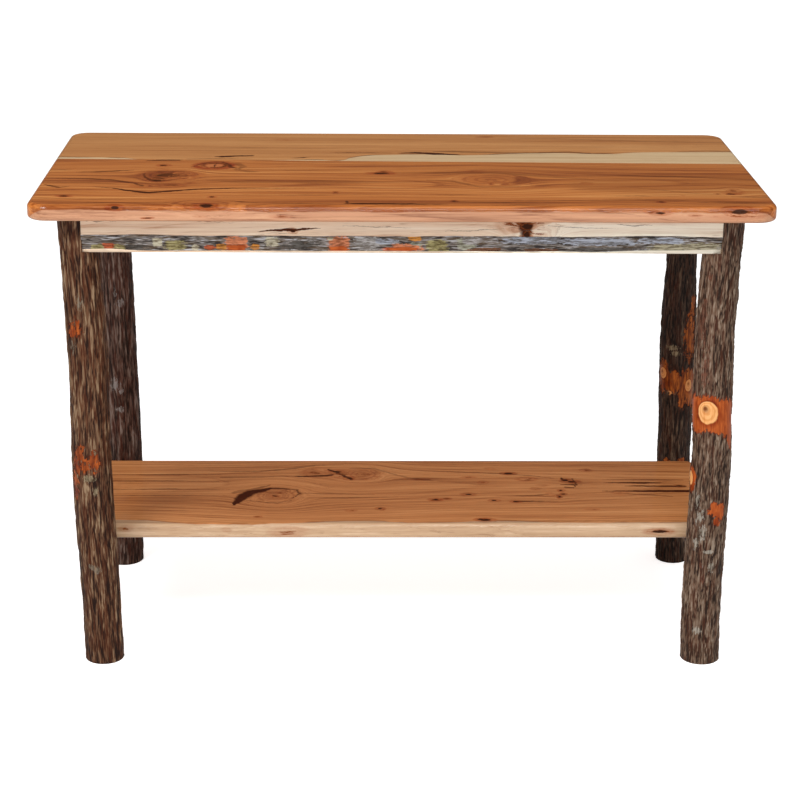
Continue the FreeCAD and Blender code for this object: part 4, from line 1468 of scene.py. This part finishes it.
def screw_object(name, length):
    """A countersunk screw with a cross recess, its head's face at nothing, pointing along z."""
    head, shank, deep = 0.0042, 0.0021, 0.0030
    around = 32
    turns = np.arange(around) * (2 * math.pi / around)

    def cross(arm, half_width):
        """A plus sign's outline seen from its middle."""
        outline = []
        for turn in turns:
            long_part = max(abs(math.cos(turn)), abs(math.sin(turn)))
            short_part = max(1e-6, min(abs(math.cos(turn)), abs(math.sin(turn))))
            outline.append(max(min(arm / long_part, half_width / short_part),
                               half_width / long_part))
        return np.array(outline)

    rows = [(cross(0.0010, 0.0003), 0.0021), (cross(0.0021, 0.0006), 0.0001),
            (cross(0.0022, 0.0007), 0.0)]
    rows += [(np.full(around, radius), level) for radius, level in (
        (head * 0.97, 0.0), (head, 0.0002), (head, 0.0004), (shank, deep))]
    pitch = 0.0011
    turns_of_thread = int((length - deep - 0.0025) / pitch)
    for number in range(turns_of_thread):
        level = deep + 0.0008 + number * pitch
        rows.append((np.full(around, shank * 0.72), level))
        rows.append((np.full(around, shank), level + pitch * 0.45))
    rows.append((np.full(around, shank * 0.6), length - 0.0012))
    points = [(radii[step] * math.cos(turn), radii[step] * math.sin(turn), level)
              for radii, level in rows for step, turn in enumerate(turns)]
    points += [(0.0, 0.0, 0.0021), (0.0, 0.0, length)]
    obj = mesh_object(name, points, tube_faces(len(rows), around), smooth=False)
    face_outwards(obj)
    return obj


def screws_tree():
    """Puts a screw on each point, aimed along the point's aim."""
    tree, g, given, out = new_group(
        "Driven Screws", "GeometryNodeTree",
        [("Geometry", "Geometry", None), ("Screw", "Object", None), ("Metal", "Material", None)],
        [("Geometry", "Geometry")],
    )
    screw = g.add("GeometryNodeObjectInfo", {"Object": given["Screw"]})["Geometry"]
    aim = g.add("GeometryNodeInputNamedAttribute", {"Name": "aim"},
                data_type="FLOAT_VECTOR").in_use()
    turn = g.add("FunctionNodeAlignRotationToVector", {"Vector": aim}, axis="Z")[0]
    inputs = {"Points": given["Geometry"], "Instance": screw, "Rotation": turn}
    screws = g.add("GeometryNodeInstanceOnPoints", inputs)[0]
    screws = g.add("GeometryNodeRealizeInstances", {0: screws})[0]
    inputs = {"Geometry": screws, "Material": given["Metal"]}
    g.feed(out["Geometry"], g.add("GeometryNodeSetMaterial", inputs)[0])
    return tree


def screw_material():
    """Zinc-plated steel with rubbed patches."""
    material, g, shader = new_material("Zinc Screw")
    place = g.add("ShaderNodeTexCoord")["Object"]
    cloud = g.noise(place * 900.0, 3.0, 0.6)
    g.feed(shader.inputs["Base Color"],
           g.mix(g.soft(cloud, 0.3, 0.7), rgba(srgb(196, 190, 172)), rgba(srgb(150, 146, 138))))
    shader.inputs["Metallic"].default_value = 1.0
    g.feed(shader.inputs["Roughness"], 0.28 + cloud * 0.2)
    bump(g, shader, cloud, 0.00005, 0.5)
    return material


# Property groups

def colour(name, description, default):
    """A colour that a user may change."""
    return FloatVectorProperty(name=name, description=description, default=default,
                               subtype="COLOR", min=0.0, max=1.0)


class WoodSettings(bpy.types.PropertyGroup):
    """The lacquered boards' heartwood and the aprons' sawn faces."""

    front_light: colour("Front Light", "The front board's pale bands", srgb(236, 161, 90))
    front_middle: colour("Front Middle", "The front board's main colour", srgb(205, 122, 56))
    front_dark: colour("Front Dark", "The front board's late wood", srgb(158, 82, 32))
    back_light: colour("Back Light", "The back board's pale bands", srgb(236, 170, 106))
    back_middle: colour("Back Middle", "The back board's main colour", srgb(211, 143, 82))
    back_dark: colour("Back Dark", "The back board's late wood", srgb(178, 108, 54))
    shelf_light: colour("Shelf Light", "The shelf's pale bands", srgb(228, 164, 106))
    shelf_middle: colour("Shelf Middle", "The shelf's main colour", srgb(202, 134, 80))
    shelf_dark: colour("Shelf Dark", "The shelf's late wood", srgb(158, 94, 50))
    apron_light: colour("Apron Light", "The aprons' pale bands", srgb(239, 222, 201))
    apron_middle: colour("Apron Middle", "The aprons' main colour", srgb(227, 202, 176))
    apron_dark: colour("Apron Dark", "The aprons' late wood", srgb(192, 150, 122))

    def tones(self, board):
        """A board's light, middle and dark colour."""
        return [getattr(self, f"{board}_{tone}") for tone in ("light", "middle", "dark")]


class BarkSettings(bpy.types.PropertyGroup):
    """The poles' bark."""

    spacing: FloatProperty(name="Crack Spacing", description="Distance between thin bark's cracks",
                           default=0.005, min=0.002, unit="LENGTH")
    depth: FloatProperty(name="Crack Depth", description="From a ridge's top to a crack's bottom",
                         default=0.0025, min=0.0, unit="LENGTH")
    thickness: FloatProperty(name="Bark Thickness", description="What is gone where wood is bare",
                             default=0.0007, min=0.0, unit="LENGTH")
    around: IntProperty(name="Columns", description="Columns of faces round a leg",
                        default=146, min=24)
    fineness: FloatProperty(name="Row Height", description="Height of a row of faces on a leg",
                            default=0.00135, min=0.0005, unit="LENGTH")


class LightSettings(bpy.types.PropertyGroup):
    """The studio."""

    world: FloatProperty(name="Room Light", description="Strength of the even light",
                         default=0.5, min=0.0)
    key: FloatProperty(name="Key", description="Power of the large lamp, front left",
                       default=50.0, min=0.0, unit="POWER")
    fill: FloatProperty(name="Fill", description="Power of the large lamp, front right",
                        default=25.0, min=0.0, unit="POWER")
    top: FloatProperty(name="Top", description="Power of the strip lamp overhead",
                       default=10.0, min=0.0, unit="POWER")
    low: FloatProperty(name="Low", description="Power of the low lamp in front",
                       default=20.0, min=0.0, unit="POWER")
    floor: colour("Floor", "Colour of the floor", (0.9, 0.9, 0.9))


class CameraSettings(bpy.types.PropertyGroup):
    """Where the camera stands and how it is turned."""

    place: FloatVectorProperty(name="Place", description="Where the lens is", unit="LENGTH",
                               default=(-0.0668, -3.3353, 1.4691))
    yaw: FloatProperty(name="Yaw", description="Turned towards the right", unit="ROTATION",
                       default=math.radians(1.196))
    pitch: FloatProperty(name="Pitch", description="Tilted down", unit="ROTATION",
                         default=math.radians(18.254))
    roll: FloatProperty(name="Roll", description="Turned about its own line", unit="ROTATION",
                        default=math.radians(0.460))
    lens: FloatProperty(name="Lens", description="Focal length", unit="CAMERA", default=95.265)


# Operators

class TABLE_OT_boards(bpy.types.Operator):
    """Finish the two top boards and the shelf board"""

    bl_idname = "table.boards"
    bl_label = "Boards"

    def execute(self, context):
        wood = context.scene.table_wood
        for node, board in (("top_board_front", top_front_board(wood)),
                            ("top_board_back", top_back_board(wood)),
                            ("shelf_board", shelf_board(wood))):
            shade_with(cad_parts[node], board_material(board))
        return {"FINISHED"}


class TABLE_OT_legs(bpy.types.Operator):
    """Put bark on the four leg poles"""

    bl_idname = "table.legs"
    bl_label = "Legs"

    def execute(self, context):
        bark = context.scene.table_bark
        tree = shared("relief")
        sawn = sawn_material("Sawn Leg Wood", axes="ZXY")

        def sawn_off(point):
            hair, notch_face = 0.0003, FRAME_END + 0.0002
            in_notch = point.z > APRON_FOOT and abs(point.x) < notch_face
            return in_notch or point.z < hair or point.z > UNDERSIDE - hair

        for number, corner in enumerate(CORNERS):
            name = f"leg_{corner}"
            look = LEG_LOOKS[corner]
            obj = pole_object(
                f"{name}_bark", leg_pole(corner), leg_levels(bark.fineness), bark.around, sawn_off,
                LEG_BARE[corner], LEG_KNOTS[corner], LEG_TINTS[corner], LEG_BULGES[corner])
            run_tree(obj, tree, {
                "Crack Spacing": look["spacing"], "Stretch": look["stretch"], "Depth": bark.depth,
                "Bark Thickness": bark.thickness, "Seed": 1.0 + number * 3.7,
                "Tearing": look["tearing"],
                "Bark": bark_material(f"Bark {corner}", look), "Sawn Wood": sawn,
            })
            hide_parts(name)
            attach(obj, "root")
        return {"FINISHED"}


class TABLE_OT_aprons(bpy.types.Operator):
    """Make the four aprons with bark along their foot"""

    bl_idname = "table.aprons"
    bl_label = "Aprons"

    def execute(self, context):
        bark = context.scene.table_bark
        wood = context.scene.table_wood
        tree = shared("relief")
        look = bark_material("Bark Aprons", APRON_LOOK)
        end_face = board_material(apron_face(
            wood, "Hickory Apron Ends", 47.0, knots=((60, 722, 7, 5, DARK_KNOT),), axes="YZX"))
        back_face = board_material(apron_face(
            wood, "Hickory Apron Back", 41.0,
            knots=((-240, 722, 9, 6, DARK_KNOT), (310, 716, 5, 4, SPOT))))
        front_face = board_material(front_apron_face(wood))
        for node, along, side, tints, bare, lip, face in (
            ("apron_front", "x", -1, FRONT_APRON_TINTS, FRONT_APRON_BARE, FRONT_LIP, front_face),
            ("apron_back", "x", 1, BACK_APRON_TINTS, (), None, back_face),
            ("apron_left", "y", -1, END_APRON_TINTS, (), None, end_face),
            ("apron_right", "y", 1, END_APRON_TINTS, (), None, end_face),
        ):
            seed = 2.0 + 5.0 * len(node) + side
            obj = apron_object(f"{node}_wane", node, along, side, tints, bare, lip, seed)
            run_tree(obj, tree, {
                "Crack Spacing": bark.spacing * 0.46, "Stretch": 12.0,
                "Depth": bark.depth * 0.3, "Bark Thickness": 0.4 * MM, "Seed": seed,
                "Tearing": 0.9, "Bark": look, "Sawn Wood": face,
            })
            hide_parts(node)
            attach(obj, "root")
        return {"FINISHED"}


class TABLE_OT_rungs(bpy.types.Operator):
    """Make the two bark-on rungs that carry the shelf"""

    bl_idname = "table.rungs"
    bl_label = "Rungs"

    def execute(self, context):
        bark = context.scene.table_bark
        tree = shared("relief")
        sawn_wood = sawn_material("Sawn Rung Wood", axes="YXZ")
        look = bark_material("Bark Rungs", RUNG_LOOK)
        reach = RUNG[1][1]
        radius = (RUNG[1][0] - RUNG[0][0]) / 2

        for side, node in ((-1, "shelf_rung_left"), (1, "shelf_rung_right")):
            low, high = box_of(node)
            centre = ((low[0] + high[0]) / 2, low[2] + radius)
            bore = 0.006
            gaps = [(place[0][1] - bore, place[0][1] + bore)
                    for place in screw_places("shelf_screws") if place[0][0] * side > 0]
            pole = Pole(node, "y", centre, -reach + 0.002, reach - 0.002, gaps)

            def planed(point, pole=pole):
                away = point - pole.axis(point.y)
                return point.z > RUNG_FLAT - 0.0002 or away.length < radius * 0.97

            neck = reach - RUNG_TENON
            waist = neck - RUNG_SHOULDER
            hair, close, wide = 0.0003, 0.0016, 0.004
            levels = np.concatenate((
                spread(-reach, -neck - hair, wide), spread(hair - neck, -waist - hair, close),
                spread(hair - waist, waist - hair, bark.fineness * 1.3),
                spread(waist + hair, neck - hair, close), spread(neck + hair, reach, wide)))
            obj = pole_object(f"{node}_bark", pole, levels, 96, planed)
            run_tree(obj, tree, {
                "Crack Spacing": bark.spacing * 0.8, "Stretch": 5.0,
                "Depth": bark.depth * 0.6, "Bark Thickness": bark.thickness * 0.5,
                "Seed": 20.0 + side, "Tearing": 1.0, "Bark": look, "Sawn Wood": sawn_wood,
            })
            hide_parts(node)
            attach(obj, "root")
        return {"FINISHED"}


class TABLE_OT_inner_frame(bpy.types.Operator):
    """Finish the corner blocks and the cleats under the top"""

    bl_idname = "table.inner_frame"
    bl_label = "Inner Frame"

    def execute(self, context):
        block_wood = sawn_material("Sawn Block Wood", seed=52.0)
        cleat_wood = sawn_material("Sawn Cleat Wood", seed=57.0)
        for corner in CORNERS:
            shade_with(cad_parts[f"corner_block_{corner}"], block_wood)
        for side in ("front", "back"):
            shade_with(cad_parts[f"top_cleat_{side}"], cleat_wood)
        return {"FINISHED"}


class TABLE_OT_screws(bpy.types.Operator):
    """Put cross-slotted countersunk screws where the five sets of plain ones are"""

    bl_idname = "table.screws"
    bl_label = "Screws"

    def execute(self, context):
        metal = screw_material()
        tree = screws_tree()
        for node in ("leg_screws", "block_screws", "cleat_screws", "top_screws", "shelf_screws"):
            places = screw_places(node)
            length = max(place[2] for place in places)
            template = screw_object(f"{node}_shape", length)
            obj = mesh_object(f"{node}_driven", [place[0] for place in places], [])
            store_points(obj, "aim", "FLOAT_VECTOR", [place[1] for place in places])
            run_tree(obj, tree, {"Screw": template, "Metal": metal})
            bpy.data.objects.remove(template)
            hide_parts(node)
            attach(obj, "root")
        return {"FINISHED"}


# Each lamp's name, place, width and height, and the place that all of them face
LAMPS = (
    ("key", (-1.7, -2.4, 2.6), 1.2, 0.9),
    ("fill", (0.4, -2.4, 2.6), 1.7, 0.4),
    ("top", (0.3, -0.9, 2.9), 2.2, 0.3),
    ("low", (0.2, -3.7, 1.0), 2.0, 0.12),
)
LIT_PLACE = (0.1, 0.0, 0.5)


class TABLE_OT_stage(bpy.types.Operator):
    """Lay the floor and set the lamps and the camera"""

    bl_idname = "table.stage"
    bl_label = "Stage"

    def execute(self, context):
        scene = context.scene
        light = scene.table_light
        bpy.ops.mesh.primitive_grid_add(size=60, x_subdivisions=4, y_subdivisions=4)
        floor = context.active_object
        floor.name = "floor"
        floor.data.materials.append(floor_material(light.floor))
        world_light(scene, light.world)
        for name, place, width, height in LAMPS:
            lamp = bpy.data.lights.new(name, "AREA")
            lamp.energy = getattr(light, name)
            lamp.shape = "RECTANGLE"
            lamp.size = width
            lamp.size_y = height
            obj = bpy.data.objects.new(name, lamp)
            obj.location = place
            aim = Vector(LIT_PLACE) - Vector(place)
            obj.rotation_euler = aim.to_track_quat("-Z", "Y").to_euler()
            scene.collection.objects.link(obj)
        set_camera(scene)
        scene.view_settings.view_transform = "Standard"
        return {"FINISHED"}


def floor_material(colour):
    """A pale floor that the camera sees nearly white, with the table's shadow kept."""
    material, g, shader = new_material("Floor")
    g.feed(shader.inputs["Base Color"], rgba(colour))
    shader.inputs["Roughness"].default_value = 0.9
    shader.inputs["Specular IOR Level"].default_value = 0.1
    path = g.add("ShaderNodeLightPath")
    seen = g.math("MAXIMUM", path["Is Camera Ray"], path["Is Transmission Ray"])
    shader.inputs["Emission Color"].default_value = (1, 1, 1, 1)
    g.feed(shader.inputs["Emission Strength"], seen * 0.7)
    return material


def world_light(scene, strength):
    """A room that the camera sees white, that lights the table less and shines on it hardly."""
    world = bpy.data.worlds.new("Room")
    world.use_nodes = True
    tree = world.node_tree
    tree.nodes.clear()
    g = Graph(tree)
    path = g.add("ShaderNodeLightPath")
    seen = g.math("MAXIMUM", path["Is Camera Ray"], path["Is Transmission Ray"])
    level = g.between(path["Is Glossy Ray"], strength, 0.05)
    level = g.between(seen, level, 1.0)
    back = g.add("ShaderNodeBackground", {"Color": (1, 1, 1, 1), "Strength": level})[0]
    g.node("ShaderNodeOutputWorld", {"Surface": back})
    scene.world = world


def set_camera(scene):
    """A camera that first tilts down and turns, then rolls about its own line."""
    settings = scene.table_camera
    data = bpy.data.cameras.new("camera")
    data.lens = settings.lens
    data.sensor_width = 36.0
    data.clip_end = 200.0
    camera = bpy.data.objects.new("camera", data)
    camera.location = settings.place
    level = Euler((math.pi / 2 - settings.pitch, 0.0, -settings.yaw), "XYZ").to_matrix()
    camera.rotation_euler = (level @ Matrix.Rotation(settings.roll, 3, "Z")).to_euler()
    scene.collection.objects.link(camera)
    scene.camera = camera


class TABLE_PT_panel(bpy.types.Panel):
    """Lists the table's pieces"""

    bl_idname = "TABLE_PT_panel"
    bl_label = "Hickory Table"
    bl_space_type = "VIEW_3D"
    bl_region_type = "UI"
    bl_category = "Table"

    def draw(self, context):
        for operator in OPERATORS:
            self.layout.operator(operator.bl_idname)


OPERATORS = (TABLE_OT_boards, TABLE_OT_aprons, TABLE_OT_legs, TABLE_OT_rungs,
             TABLE_OT_inner_frame, TABLE_OT_screws, TABLE_OT_stage)
SETTINGS = {"table_wood": WoodSettings, "table_bark": BarkSettings,
            "table_light": LightSettings, "table_camera": CameraSettings}


def register():
    for settings in SETTINGS.values():
        bpy.utils.register_class(settings)
    for name, settings in SETTINGS.items():
        setattr(bpy.types.Scene, name, PointerProperty(type=settings))
    for operator in OPERATORS:
        bpy.utils.register_class(operator)
    bpy.utils.register_class(TABLE_PT_panel)


def unregister():
    bpy.utils.unregister_class(TABLE_PT_panel)
    for operator in reversed(OPERATORS):
        bpy.utils.unregister_class(operator)
    for name, settings in SETTINGS.items():
        delattr(bpy.types.Scene, name)
        bpy.utils.unregister_class(settings)


def main():
    register()
    bpy.ops.table.boards()
    bpy.ops.table.aprons()
    bpy.ops.table.legs()
    bpy.ops.table.rungs()
    bpy.ops.table.inner_frame()
    bpy.ops.table.screws()
    bpy.ops.table.stage()


if __name__ == "__main__":
    main()
